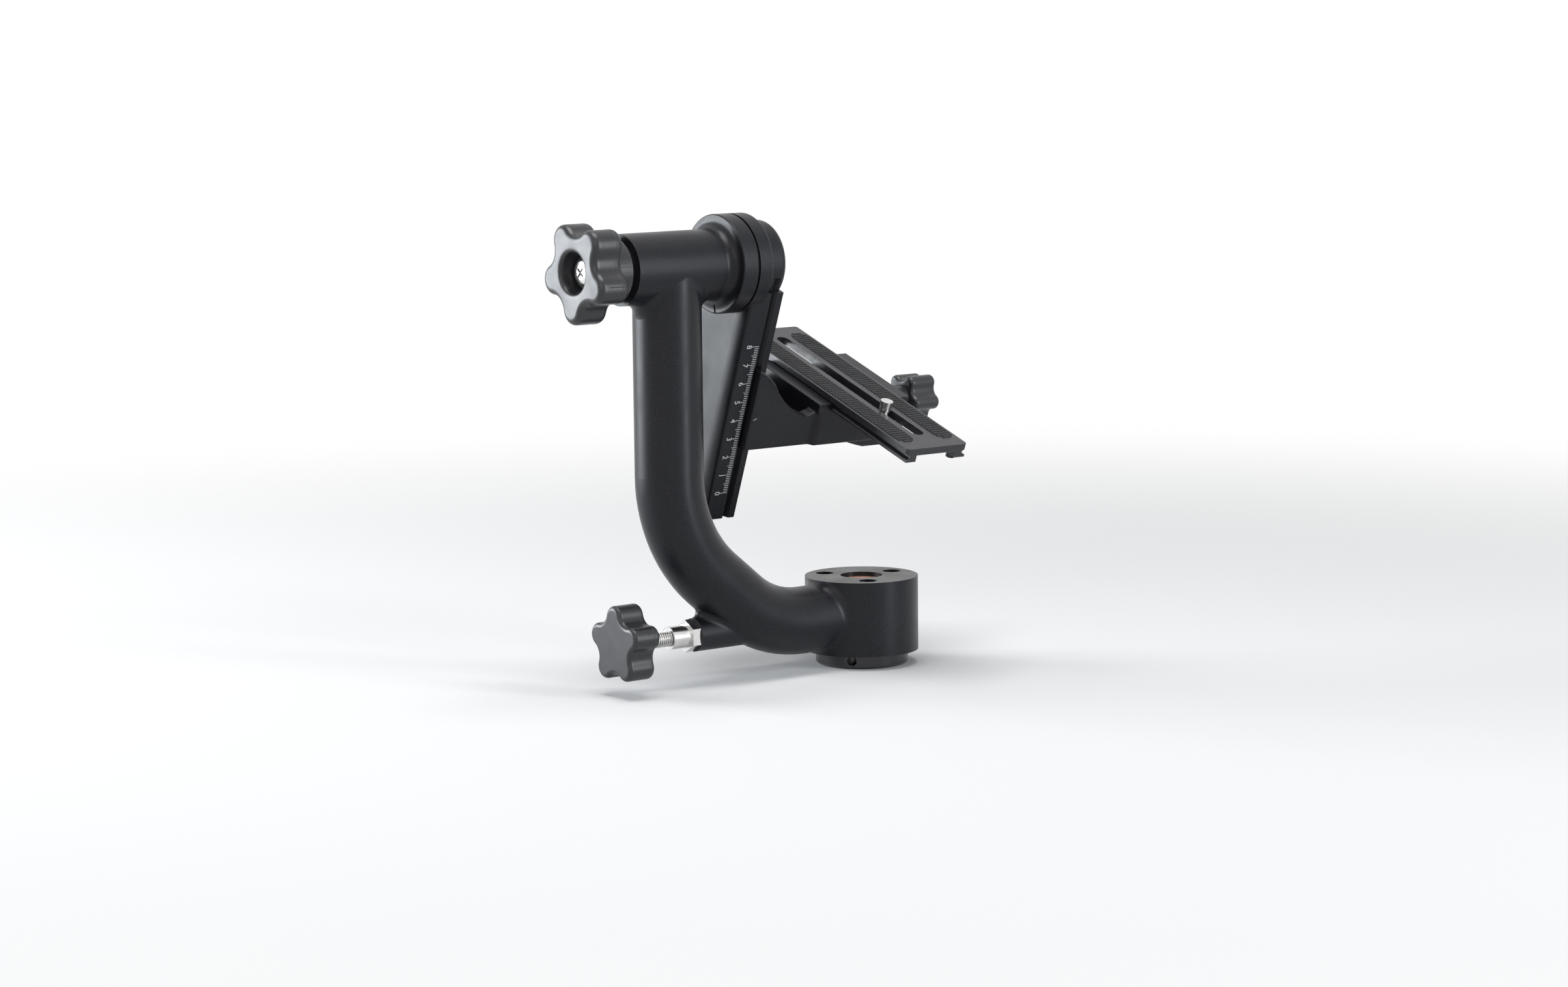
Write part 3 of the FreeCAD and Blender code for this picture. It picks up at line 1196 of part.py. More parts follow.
def build_tilt_lock():
    """Pressure collar, knob and cross-head screw on the outer end of the shaft."""
    face = size("tilt_knob_face")
    rear = face + size("tilt_knob_thickness")
    turned("pressure_collar", [
        ("journal_radius + running_gap", "tilt_knob_face + tilt_knob_thickness + running_gap"),
        ("press_collar_radius", "tilt_knob_face + tilt_knob_thickness + running_gap"),
        ("press_collar_radius", "press_collar_end"),
        ("press_neck_radius", "press_collar_end"),
        ("press_neck_radius", "left_bearing_start - press_nose_length"),
        ("press_nose_radius", "left_bearing_start - press_nose_length"),
        ("press_nose_radius", "left_bearing_start - running_gap"),
        ("journal_radius + running_gap", "left_bearing_start - running_gap"),
    ], along_x(), True)
    turn = size("tilt_knob_turn") + size("tilt_angle")
    knob = knob_shape(size("tilt_knob_radius"), size("tilt_knob_thickness"), turn, size("tilt_knob_round"))
    dish = Part.makeCone(size("dish_radius") + size("dish_flare"), size("dish_radius") - size("dish_taper"),
                         size("dish_depth"), Vector(0, 0, 0), Vector(1, 0, 0))
    knob = knob.cut(dish)
    thickness = size("tilt_knob_thickness")
    web_end = size("dish_depth") + size("knob_web")
    knob = knob.cut(rod(size("tilt_thread_radius") + size("running_gap"), web_end - size("thread_margin"),
                        thickness + PAST, "x"))
    knob = knob.cut(rod(size("knob_screw_shank") + 2 * size("pad_gap"), 0, web_end + PAST, "x"))
    knob = knob.cut(rod(size("journal_radius") + size("free_gap"), thickness - size("knob_counterbore"),
                        thickness + PAST, "x"))
    part_feature("tilt_lock_knob", moved(knob, face), None, True)
    seat = face + size("dish_depth") - size("knob_screw_lift")
    head = rod(size("knob_screw_radius"), seat - size("knob_screw_height"), seat, "x")
    shank = rod(size("knob_screw_shank"), seat - 0.5 * PAST,
                face + size("dish_depth") + size("knob_web"), "x")
    part_feature("knob_screw", head.fuse(shank).removeSplitter(), None, True)


def check_document():
    """Stop if any object failed or any sub-part has no sound solid."""
    for item in DOC.Objects:
        if "Invalid" in item.State or "Error" in item.State:
            raise ValueError("failed object: " + item.Label)
    for piece in PIECES:
        shape = piece.Shape
        if shape.isNull() or not shape.isValid() or not shape.Solids:
            raise ValueError("unsound sub-part: " + piece.Label)


def write_parts():
    """Write each sub-part to its own file."""
    os.makedirs("parts", exist_ok=True)
    for piece in PIECES:
        piece.Shape.exportStep("parts/" + piece.Label + ".step")


fill_sheet()
build_base()
build_arm()
build_hub_pieces()
build_pan_lock()
build_tilt_pieces()
build_tilt_lock()
build_swing_arm()
build_bracket()
build_clamp()
build_plate()
build_camera_screw()
build_height_lock()
DOC.recompute()
check_document()
write_parts()
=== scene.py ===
import json
import math

import bmesh
import bpy
from mathutils import Matrix, Vector


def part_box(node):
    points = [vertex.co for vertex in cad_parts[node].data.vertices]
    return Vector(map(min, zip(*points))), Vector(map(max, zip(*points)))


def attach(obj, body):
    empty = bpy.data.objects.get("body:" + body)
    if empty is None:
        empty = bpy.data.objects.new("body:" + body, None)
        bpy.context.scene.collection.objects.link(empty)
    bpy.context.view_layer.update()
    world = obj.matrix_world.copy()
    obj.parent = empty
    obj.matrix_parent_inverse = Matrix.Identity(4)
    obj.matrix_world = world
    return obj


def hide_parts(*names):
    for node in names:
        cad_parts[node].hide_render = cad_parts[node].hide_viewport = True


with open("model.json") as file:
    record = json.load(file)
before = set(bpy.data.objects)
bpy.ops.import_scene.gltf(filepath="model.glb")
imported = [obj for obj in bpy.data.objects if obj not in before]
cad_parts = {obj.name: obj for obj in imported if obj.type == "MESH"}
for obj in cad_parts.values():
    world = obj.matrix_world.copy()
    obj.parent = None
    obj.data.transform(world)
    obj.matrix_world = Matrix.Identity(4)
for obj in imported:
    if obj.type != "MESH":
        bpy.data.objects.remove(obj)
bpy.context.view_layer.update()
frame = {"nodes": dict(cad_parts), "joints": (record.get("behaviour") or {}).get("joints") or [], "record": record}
NODES = frame["nodes"]
JOINTS = {joint["name"]: joint for joint in frame["joints"]}
MM = 0.001

# The swing frame: origin on the tilt axis, X across, Y along the plate, Z up the swing arm
TILT_AXIS = Vector(JOINTS["tilt"]["pos_m"])
ALONG = Vector(JOINTS["plate_slide"]["axis"])
UP = Vector(JOINTS["carriage_slide"]["axis"])
SWING = Matrix.Translation(TILT_AXIS) @ Matrix(((1, 0, 0), ALONG, UP)).transposed().to_4x4()
SWING_BACK = SWING.inverted()
SWING_TURN = math.atan2(ALONG.z, ALONG.y)

# Camera, at the photograph's viewing angle
CAMERA_PLACE = (-1.22590, -1.49191, 0.33961)
CAMERA_RIGHT = (0.78436922, -0.62020872, -0.01029909)
CAMERA_UP = (0.08863256, 0.09562825, 0.99146332)
CAMERA_BACK = (-0.61392931, -0.77858614, 0.12997854)
SENSOR_WIDTH = 36.0
LENS = 88.19

# Print on the swing arm
SCALE_ZERO = -116.5
SCALE_STEP = 10.0
SCALE_COUNT = 8
TICK_RIGHT = -69.5
TICK_LONG = 4.3
TICK_HALF = 3.3
TICK_SHORT = 2.4
TICK_WIDTH = 0.26
DIGIT_SIZE = 3.2
DIGIT_PLACE = -75.6
PRINT_LIFT = 0.04
# Letter height to font size
FONT_SCALE = 1.35
# Below this height the arm is straight, and its print face is flat
STRAIGHT_TOP = -40.0

# Cross-head screw of the tilt knob: heights below its face, and shares of its radius
CROSS_DOME = ((0.0, 0.45), (0.25, 0.8), (0.8, 0.96), (1.3, 1.0), (2.2, 1.0), (2.4, 0.97))
CROSS_SHANK = 2.0
CROSS_REACH = 3.3
CROSS_WIDTH = 0.85
CROSS_DEPTH = 1.6
CROSS_TAPER = 0.7
CROSS_TURN = 20.0
WING_PROUD = 1.0

# Rubber strips
RIB_PITCH = 2.3
RIB_HALF = 0.8
RIB_HEIGHT = 0.55
RIB_INSET = 0.15
RIB_ROOT = 0.05
RIB_SHOULDER = 0.12
RIB_SHARES = (1.0, 0.75, 0.5)
RIB_INSETS = (0.0, 0.1, 0.3)
STRIP_STEPS = 16

# Softened edges: what stays sharp on the carriage's rail channel and clamp bed, and the lip
# of the dish in the tilt knob
CAST_GRAIN = 0.45
CAST_PASSES = 24
RAIL_SIDE = -59.0
RAIL_KEEP = 21.5
RAIL_FADE = 1.5
JAW_SIDE = -27.8
BED_KEEP = -76.5
SOFT_LEAST = 0.12
LIP_RADIUS = 13.5
LIP_DEPTH = 6.0
LIP_PASSES = 60

# Thread of the pan lock screw: shares of the pitch along the screw, and into it
THREAD_FORM = ((0.1, 0.0), (0.5, 0.6), (0.9, 0.0))

# Mould lines of the knobs, painted shade for their slits, and the index line. A knob's outline in
# a section lies beyond this share of its largest radius; its bore lies inside
OUTER_SHARE = 0.55
LINE_HALF = 0.16
LINE_RISE = 0.05
# Half width and rise of the dark inlays that paint the shade of the knob slits
SLIT_SHADE_HALF = 0.22
SLIT_SHADE_RISE = 0.03
INLAY_DEPTH = 0.2
INDEX_HALF = (1.1, 0.03, 0.13)
INDEX_TILT = -27.0
INDEX_IN = 1.0
INDEX_HEIGHT = -73.4

WHITE = (1.0, 1.0, 1.0)
COOL = (0.90, 0.95, 1.0)

# Lamps, world and floor
LIGHT_TARGET = (-0.07, 0.0, 0.13)
AMBIENT = 0.15
FLOOR_RADIUS = 2.2
FLOOR_DROP = 0.0003
FLOOR_COLOR = (0.86, 0.86, 0.86)
FADE_START = 0.25
FADE_END = 1.1


def rgb(color):
    return (*color, 1.0)


class Finish:
    """A node-based material: a Principled shader with a few procedural layers."""

    def __init__(self, name, color, roughness, metallic=0.0, specular=0.5):
        self.material = bpy.data.materials.new(name)
        self.material.use_nodes = True
        self.tree = self.material.node_tree
        self.shader = self.tree.nodes["Principled BSDF"]
        self.shader.inputs["Base Color"].default_value = rgb(color)
        self.shader.inputs["Metallic"].default_value = metallic
        self.shader.inputs["Specular IOR Level"].default_value = specular
        self.shader.inputs["Roughness"].default_value = roughness
        self.color = color
        self.roughness = roughness
        self.place = self.tree.nodes.new("ShaderNodeTexCoord").outputs["Object"]

    def link(self, start, end):
        self.tree.links.new(start, end)

    def noise(self, scale, detail=3.0, stretch=(1.0, 1.0, 1.0)):
        """Noise of so many grains per metre; stretch above 1 packs them closer along that axis."""
        mapping = self.tree.nodes.new("ShaderNodeMapping")
        mapping.inputs["Scale"].default_value = stretch
        self.link(self.place, mapping.inputs["Vector"])
        node = self.tree.nodes.new("ShaderNodeTexNoise")
        node.inputs["Scale"].default_value = scale
        node.inputs["Detail"].default_value = detail
        self.link(mapping.outputs["Vector"], node.inputs["Vector"])
        return node.outputs["Fac"]

    def spread(self, value, low, high, start=0.3, end=0.7):
        """Maps a value from start..end to low..high."""
        node = self.tree.nodes.new("ShaderNodeMapRange")
        node.inputs["From Min"].default_value = start
        node.inputs["From Max"].default_value = end
        node.inputs["To Min"].default_value = low
        node.inputs["To Max"].default_value = high
        self.link(value, node.inputs["Value"])
        return node.outputs["Result"]

    def multiply(self, first, second):
        node = self.tree.nodes.new("ShaderNodeMath")
        node.operation = "MULTIPLY"
        self.link(first, node.inputs[0])
        self.link(second, node.inputs[1])
        return node.outputs["Value"]

    def tint(self, factor, color):
        """Lays color over the present base colour where factor is 1."""
        base = self.shader.inputs["Base Color"]
        mix = self.tree.nodes.new("ShaderNodeMix")
        mix.data_type = "RGBA"
        self.link(factor, mix.inputs["Factor"])
        if base.is_linked:
            self.link(base.links[0].from_socket, mix.inputs["A"])
        else:
            mix.inputs["A"].default_value = base.default_value
        mix.inputs["B"].default_value = rgb(color)
        self.link(mix.outputs["Result"], base)

    def vary_roughness(self, value, swing):
        low = self.roughness - swing
        high = self.roughness + swing
        self.link(self.spread(value, low, high), self.shader.inputs["Roughness"])

    def edges(self, radius):
        """1 on convex edges, found from how a rounded normal departs from the true one."""
        bevel = self.tree.nodes.new("ShaderNodeBevel")
        bevel.samples = 4
        bevel.inputs["Radius"].default_value = radius
        geometry = self.tree.nodes.new("ShaderNodeNewGeometry")
        dot = self.tree.nodes.new("ShaderNodeVectorMath")
        dot.operation = "DOT_PRODUCT"
        self.link(bevel.outputs["Normal"], dot.inputs[0])
        self.link(geometry.outputs["True Normal"], dot.inputs[1])
        return self.spread(dot.outputs["Value"], 1.0, 0.0, 0.88, 0.99)

    def bump(self, height, strength, distance):
        node = self.tree.nodes.new("ShaderNodeBump")
        node.inputs["Strength"].default_value = strength
        node.inputs["Distance"].default_value = distance
        self.link(height, node.inputs["Height"])
        previous = self.shader.inputs["Normal"]
        if previous.is_linked:
            self.link(previous.links[0].from_socket, node.inputs["Normal"])
        self.link(node.outputs["Normal"], previous)


def black_coat():
    """Fine-grained satin black coat over cast alloy."""
    coat = Finish("black_coat", (0.008, 0.0083, 0.0110), 0.35, specular=0.24)
    grain = coat.noise(1700, 2.0)
    coat.vary_roughness(coat.noise(60, 4.0), 0.05)
    coat.tint(coat.spread(coat.noise(2200, 1.0), 0.0, 0.6, 0.52, 0.75), (0.036, 0.038, 0.047))
    coat.tint(coat.spread(coat.noise(35, 3.0), 0.0, 0.35), (0.007, 0.0075, 0.010))
    wear = coat.multiply(coat.edges(0.0005), coat.spread(coat.noise(900, 4.0), 0.0, 0.6))
    coat.tint(wear, (0.09, 0.09, 0.10))
    coat.bump(grain, 0.2, 0.00004)
    return coat.material


def knob_plastic():
    """Moulded satin black plastic."""
    plastic = Finish("knob_plastic", (0.016, 0.0165, 0.019), 0.34, specular=0.5)
    plastic.vary_roughness(plastic.noise(90, 4.0), 0.05)
    plastic.tint(plastic.spread(plastic.noise(40, 3.0), 0.0, 0.5), (0.022, 0.022, 0.025))
    wear = plastic.multiply(plastic.edges(0.0004), plastic.spread(plastic.noise(700, 4.0), 0.0, 0.5))
    plastic.tint(wear, (0.09, 0.09, 0.10))
    plastic.bump(plastic.noise(2400, 2.0), 0.2, 0.00004)
    return plastic.material


def gloss_black():
    """Glossy black anodised turning."""
    gloss = Finish("gloss_black", (0.012, 0.012, 0.014), 0.22, specular=0.6)
    gloss.vary_roughness(gloss.noise(400, 3.0, (0.2, 0.2, 6.0)), 0.04)
    gloss.tint(gloss.spread(gloss.noise(50, 3.0), 0.0, 0.5), (0.02, 0.02, 0.023))
    gloss.tint(gloss.multiply(gloss.edges(0.0004), gloss.noise(800, 3.0)), (0.25, 0.25, 0.26))
    gloss.bump(gloss.noise(300, 2.0, (0.2, 0.2, 8.0)), 0.1, 0.00003)
    return gloss.material


def plate_anodised():
    """Satin black anodised extrusion."""
    plate = Finish("plate_anodised", (0.020, 0.020, 0.024), 0.34, specular=0.45)
    lines = plate.noise(500, 3.0, (5.0, 0.3, 0.3))
    plate.vary_roughness(lines, 0.05)
    plate.tint(plate.spread(plate.noise(45, 3.0), 0.0, 0.5), (0.028, 0.028, 0.032))
    wear = plate.multiply(plate.edges(0.0004), plate.spread(plate.noise(800, 4.0), 0.0, 0.8))
    plate.tint(wear, (0.22, 0.22, 0.23))
    plate.bump(plate.noise(2200, 2.0), 0.15, 0.00004)
    return plate.material


def rubber():
    """Matt black rubber with a fine moulded mesh."""
    soft = Finish("rubber", (0.017, 0.017, 0.018), 0.68, specular=0.35)
    soft.tint(soft.spread(soft.noise(260, 4.0), 0.0, 0.6), (0.035, 0.035, 0.036))
    soft.vary_roughness(soft.noise(120, 3.0), 0.07)
    soft.bump(soft.noise(2000, 2.0), 0.5, 0.0001)
    return soft.material


def turned_metal(name, color, roughness, stretch, dark=0.75):
    """Turned metal, with fine tool marks round the axis across which stretch packs the noise."""
    metal = Finish(name, color, roughness, metallic=1.0)
    marks = metal.noise(900, 3.0, stretch)
    metal.vary_roughness(marks, 0.06)
    metal.tint(metal.spread(metal.noise(150, 4.0), 0.0, 0.6), tuple(dark * part for part in color))
    metal.bump(marks, 0.12, 0.00003)
    return metal.material


def copper_disc():
    """Satin copper-coloured disc."""
    metal = Finish("copper_disc", (0.80, 0.45, 0.33), 0.36, metallic=1.0)
    metal.tint(metal.spread(metal.noise(160, 5.0), 0.0, 0.8), (0.70, 0.33, 0.21))
    metal.vary_roughness(metal.noise(700, 4.0), 0.08)
    metal.bump(metal.noise(1500, 3.0), 0.2, 0.00004)
    return metal.material


def print_white():
    """White screen print."""
    ink = Finish("print_white", (0.62, 0.62, 0.63), 0.55)
    ink.tint(ink.spread(ink.noise(900, 3.0), 0.0, 0.5), (0.50, 0.50, 0.51))
    ink.bump(ink.noise(3000, 2.0), 0.2, 0.00003)
    return ink.material


COAT = black_coat()
KNOB = knob_plastic()
GLOSS = gloss_black()
ANODISED = plate_anodised()
RUBBER = rubber()
COPPER = copper_disc()
INK = print_white()
STAINLESS_ACROSS = turned_metal("stainless_across", (0.72, 0.71, 0.70), 0.20, (8.0, 0.3, 0.3))
STEEL = turned_metal("ground_steel", (0.56, 0.56, 0.57), 0.26, (0.3, 0.3, 8.0))
BLACK_STEEL = turned_metal("black_steel", (0.05, 0.05, 0.055), 0.32, (0.3, 0.3, 8.0))
BRASS = turned_metal("turned_brass", (0.72, 0.52, 0.24), 0.28, (8.0, 0.3, 0.3))
SLOT_MATERIALS = {
    "black_alloy": COAT,
    "plate_alloy": ANODISED,
    "gloss_collar": GLOSS,
    "knob_plastic": KNOB,
    "rubber": RUBBER,
    "copper_cap": COPPER,
    "brass": BRASS,
    "friction_plastic": RUBBER,
    "black_steel": BLACK_STEEL,
    "stainless": STAINLESS_ACROSS,
    "steel": STEEL,
    "print_white": INK,
}


def dress_nodes():
    """Gives every node of the frame the material of its slot."""
    for part in frame["record"]["subparts"]:
        mesh = NODES[part["node"]].data
        mesh.materials.clear()
        mesh.materials.append(SLOT_MATERIALS[part["material_slot"]])


def slot_of(node):
    """The material slot of a node."""
    return next(part["material_slot"] for part in frame["record"]["subparts"] if part["node"] == node)


def body_of(node):
    """The body that a node rides on."""
    groups = frame["record"]["behaviour"]["bodies"]
    return next(body for body, nodes in groups.items() if node in nodes)


def add_piece(name, mesh, body, material):
    """A new piece that rides on a body, with the given material."""
    piece = bpy.data.objects.new(name, mesh)
    bpy.context.scene.collection.objects.link(piece)
    mesh.materials.clear()
    mesh.materials.append(material)
    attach(piece, body)
    return piece


def mesh_from(name, shape, transform=None, smooth=False):
    """A mesh from a bmesh, put in place."""
    if transform is not None:
        shape.transform(transform)
    bmesh.ops.recalc_face_normals(shape, faces=shape.faces)
    mesh = bpy.data.meshes.new(name)
    shape.to_mesh(mesh)
    shape.free()
    if smooth:
        mesh.shade_smooth()
    return mesh


def add_box(shape, low, high):
    """A box between two corners, added to a bmesh, in metres."""
    corners = [(x, y, z) for x in (low[0], high[0]) for y in (low[1], high[1]) for z in (low[2], high[2])]
    verts = [shape.verts.new(corner) for corner in corners]
    for face in ((0, 1, 3, 2), (4, 6, 7, 5), (0, 4, 5, 1), (2, 3, 7, 6), (0, 2, 6, 4), (1, 5, 7, 3)):
        shape.faces.new([verts[index] for index in face])


def tick_length(index):
    if index % 10 == 0:
        return TICK_LONG
    if index % 5 == 0:
        return TICK_HALF
    return TICK_SHORT


def scale_ticks(front):
    """Ticks of the height scale on the strip of the swing arm; front is its face in the swing frame."""
    shape = bmesh.new()
    for index in range(10 * SCALE_COUNT + 1):
        height = SCALE_ZERO + index * SCALE_STEP / 10
        low = (TICK_RIGHT - tick_length(index), front - PRINT_LIFT, height - TICK_WIDTH / 2)
        high = (TICK_RIGHT, front, height + TICK_WIDTH / 2)
        add_box(shape, [part * MM for part in low], [part * MM for part in high])
    mesh = mesh_from("scale_ticks", shape, SWING)
    add_piece("scale_ticks", mesh, "swing", INK)


def digit_mesh(text):
    """A digit as a thin mesh in the XY plane, centred on its own middle."""
    curve = bpy.data.curves.new("digit_" + text, "FONT")
    curve.body = text
    curve.size = DIGIT_SIZE * FONT_SCALE * MM
    curve.align_x = "CENTER"
    curve.align_y = "CENTER"
    curve.extrude = PRINT_LIFT * MM / 2
    holder = bpy.data.objects.new("digit", curve)
    bpy.context.scene.collection.objects.link(holder)
    bpy.context.view_layer.update()
    mesh = bpy.data.meshes.new_from_object(holder)
    bpy.data.objects.remove(holder)
    return mesh


def scale_digits(front):
    """Numbers of the height scale, turned so that they read along the arm."""
    for number in range(SCALE_COUNT + 1):
        mesh = digit_mesh(str(number))
        height = SCALE_ZERO + number * SCALE_STEP
        place = Vector((DIGIT_PLACE, front - PRINT_LIFT / 2, height)) * MM
        turn = Matrix.Rotation(math.pi / 2, 4, "X") @ Matrix.Rotation(-math.pi / 2, 4, "Z")
        mesh.transform(SWING @ Matrix.Translation(place) @ turn)
        add_piece("scale_digit_" + str(number), mesh, "swing", INK)


def scale_print():
    """The print lies on the flat face of the arm, below its round head."""
    corners = [SWING_BACK @ vertex.co for vertex in NODES["swing_arm"].data.vertices]
    front = min(corner.y for corner in corners if corner.z < STRAIGHT_TOP * MM) / MM
    scale_ticks(front)
    scale_digits(front)


def swing_box(name):
    """Lowest and highest corner of a node in the swing frame, in millimetres."""
    corners = [SWING_BACK @ vertex.co / MM for vertex in NODES[name].data.vertices]
    low = Vector([min(corner[axis] for corner in corners) for axis in range(3)])
    high = Vector([max(corner[axis] for corner in corners) for axis in range(3)])
    return low, high


def lathe(outline, segments=64):
    """A turned bmesh round X. The outline gives (x, radius) in millimetres, from end to end."""
    shape = bmesh.new()
    rings = []
    for x, radius in outline:
        if radius == 0:
            rings.append([shape.verts.new((x * MM, 0, 0))])
            continue
        ring = []
        for step in range(segments):
            angle = 2 * math.pi * step / segments
            place = (x * MM, radius * math.cos(angle) * MM, radius * math.sin(angle) * MM)
            ring.append(shape.verts.new(place))
        rings.append(ring)
    for first, second in zip(rings, rings[1:]):
        for step in range(segments):
            following = (step + 1) % segments
            corners = [first[step % len(first)], first[following % len(first)],
                       second[following % len(second)], second[step % len(second)]]
            shape.faces.new(list(dict.fromkeys(corners)))
    return shape


def cut_from(mesh, tool):
    """Takes a tool mesh out of a mesh."""
    holder = bpy.data.objects.new("holder", mesh)
    cutter = bpy.data.objects.new("cutter", tool)
    for item in (holder, cutter):
        bpy.context.scene.collection.objects.link(item)
    modifier = holder.modifiers.new("cut", "BOOLEAN")
    modifier.operation = "DIFFERENCE"
    modifier.object = cutter
    modifier.solver = "EXACT"
    result = applied(holder)
    bpy.data.objects.remove(cutter)
    return result


def applied(holder):
    """The mesh of an object with its modifiers applied; the object goes."""
    bpy.context.view_layer.update()
    graph = bpy.context.evaluated_depsgraph_get()
    mesh = bpy.data.meshes.new_from_object(holder.evaluated_get(graph))
    bpy.data.objects.remove(holder)
    return mesh


def smooth_by_angle(mesh, degrees=30):
    """Smooth faces, with the edges sharper than an angle kept sharp."""
    mesh.shade_smooth()
    mesh.set_sharp_from_angle(angle=math.radians(degrees))


def cross_wing(face, turn):
    """One of the two tapered wedges that make the cross recess."""
    wing = bmesh.new()
    add_box(wing, [(face - WING_PROUD) * MM, -CROSS_REACH * MM, -CROSS_WIDTH * MM],
            [(face + CROSS_DEPTH) * MM, CROSS_REACH * MM, CROSS_WIDTH * MM])
    for vert in wing.verts:
        if vert.co.x > face * MM:
            vert.co.y *= CROSS_TAPER
            vert.co.z *= CROSS_TAPER
    return mesh_from("wing", wing, Matrix.Rotation(math.radians(turn), 4, "X"))


def cross_screw():
    """The cross-head screw in the dish of the tilt knob."""
    low, high = swing_box("knob_screw")
    radius = 0.5 * (high.y - low.y)
    face = low.x
    outline = [(face, 0)]
    outline += [(face + depth, share * radius) for depth, share in CROSS_DOME]
    outline += [(face + CROSS_DOME[-1][0], CROSS_SHANK), (high.x, CROSS_SHANK), (high.x, 0)]
    mesh = mesh_from("knob_cross_screw", lathe(outline))
    for turn in (CROSS_TURN, CROSS_TURN + 90):
        mesh = cut_from(mesh, cross_wing(face, turn))
    mesh.transform(Matrix.Translation(TILT_AXIS) @ Matrix.Rotation(SWING_TURN, 4, "X"))
    smooth_by_angle(mesh)
    node = "knob_screw"
    piece = add_piece("knob_cross_screw", mesh, body_of(node), STAINLESS_ACROSS)
    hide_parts("knob_screw")


def ribbed_strip(side):
    """A rubber strip of the plate, with its moulded cross ribs."""
    node = "rubber_strip_" + side
    low, high = swing_box(node)
    middle = 0.5 * (low.x + high.x)
    radius = 0.5 * (high.x - low.x)
    base = high.z - RIB_HEIGHT
    shape = bmesh.new()
    outline = []
    for end, centre in ((-1, low.y + radius), (1, high.y - radius)):
        for step in range(STRIP_STEPS + 1):
            angle = math.pi * step / STRIP_STEPS
            outline.append((middle - end * radius * math.cos(angle), centre + end * radius * math.sin(angle)))
    top = [shape.verts.new((x * MM, y * MM, base * MM)) for x, y in outline]
    bottom = [shape.verts.new((x * MM, y * MM, low.z * MM)) for x, y in outline]
    shape.faces.new(top)
    shape.faces.new(list(reversed(bottom)))
    for step in range(len(top)):
        following = (step + 1) % len(top)
        shape.faces.new((top[step], bottom[step], bottom[following], top[following]))
    count = int((high.y - low.y) / RIB_PITCH)
    start = 0.5 * (low.y + high.y) - 0.5 * (count - 1) * RIB_PITCH
    for index in range(count):
        place = start + index * RIB_PITCH
        beyond = max(0.0, low.y + radius - place + RIB_HALF, place + RIB_HALF - high.y + radius)
        reach = math.sqrt(max(0.0, radius ** 2 - beyond ** 2)) - RIB_INSET
        if reach > RIB_PITCH:
            add_rib(shape, middle, place, reach, base, high.z)
    mesh = mesh_from("strip", shape, SWING)
    name = "ribbed_strip_" + side
    piece = add_piece(name, mesh, body_of(node), RUBBER)
    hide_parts(node)


def add_rib(shape, middle, place, reach, base, top):
    """A cross rib with sloping sides, from its foot in the strip to its narrow top."""
    heights = (base - RIB_ROOT, top - RIB_SHOULDER, top)
    rings = []
    for height, share, inset in zip(heights, RIB_SHARES, RIB_INSETS):
        half = share * RIB_HALF
        wide = reach - inset
        corners = ((-wide, -half), (wide, -half), (wide, half), (-wide, half))
        points = [((middle + x) * MM, (place + y) * MM, height * MM) for x, y in corners]
        rings.append([shape.verts.new(point) for point in points])
    shape.faces.new(rings[0])
    shape.faces.new(rings[-1])
    for first, second in zip(rings, rings[1:]):
        for step in range(4):
            following = (step + 1) % 4
            shape.faces.new((first[step], first[following], second[following], second[step]))


def cast_form(name, node, softness, passes):
    """A node with softened edges, as cast or moulded; softness says how much at each point."""
    holder = bpy.data.objects.new(name, NODES[node].data.copy())
    bpy.context.scene.collection.objects.link(holder)
    remesh = holder.modifiers.new("even", "REMESH")
    remesh.mode = "VOXEL"
    remesh.voxel_size = CAST_GRAIN * MM
    mesh = applied(holder)
    holder = bpy.data.objects.new(name, mesh)
    bpy.context.scene.collection.objects.link(holder)
    soft = holder.vertex_groups.new(name="soft")
    for vertex in mesh.vertices:
        soft.add([vertex.index], softness(SWING_BACK @ vertex.co / MM), "REPLACE")
    smooth = holder.modifiers.new("smooth", "SMOOTH")
    smooth.factor = 0.5
    smooth.iterations = passes
    smooth.vertex_group = "soft"
    mesh = applied(holder)
    mesh.shade_smooth()
    slot = slot_of(node)
    piece = add_piece(name, mesh, body_of(node), SLOT_MATERIALS[slot])
    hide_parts(node)


def bracket_softness(point):
    """Low on the rail channel and the clamp's bed and jaws, full on the free surfaces."""
    if point.x < RAIL_SIDE:
        away = (abs(point.y) - RAIL_KEEP) / RAIL_FADE
        return max(SOFT_LEAST, min(1.0, away))
    if point.x > JAW_SIDE and point.z > BED_KEEP:
        return SOFT_LEAST
    return 1.0


TILT_KNOB_FACE = swing_box("tilt_lock_knob")[0].x


def dish_softness(point):
    """Full round the lip of the dish in the knob's face, low elsewhere."""
    radius = math.hypot(point.y, point.z)
    near_face = point.x < TILT_KNOB_FACE + LIP_DEPTH
    return 1.0 if near_face and radius < LIP_RADIUS else SOFT_LEAST


def section_loop(node, plane):
    """The outer outline of a node in a plane across X, in metres, by angle round its middle."""
    shape = bmesh.new()
    shape.from_mesh(NODES[node].data)
    every = shape.verts[:] + shape.edges[:] + shape.faces[:]
    cut = bmesh.ops.bisect_plane(shape, geom=every, plane_co=(plane * MM, 0, 0), plane_no=(1, 0, 0))
    points = [item.co.copy() for item in cut["geom_cut"] if isinstance(item, bmesh.types.BMVert)]
    shape.free()
    middle = sum(points, Vector()) / len(points)
    far = max((point - middle).length for point in points)
    points = [point for point in points if (point - middle).length > OUTER_SHARE * far]
    points.sort(key=lambda point: math.atan2(point.z - middle.z, point.y - middle.y))
    return middle, points


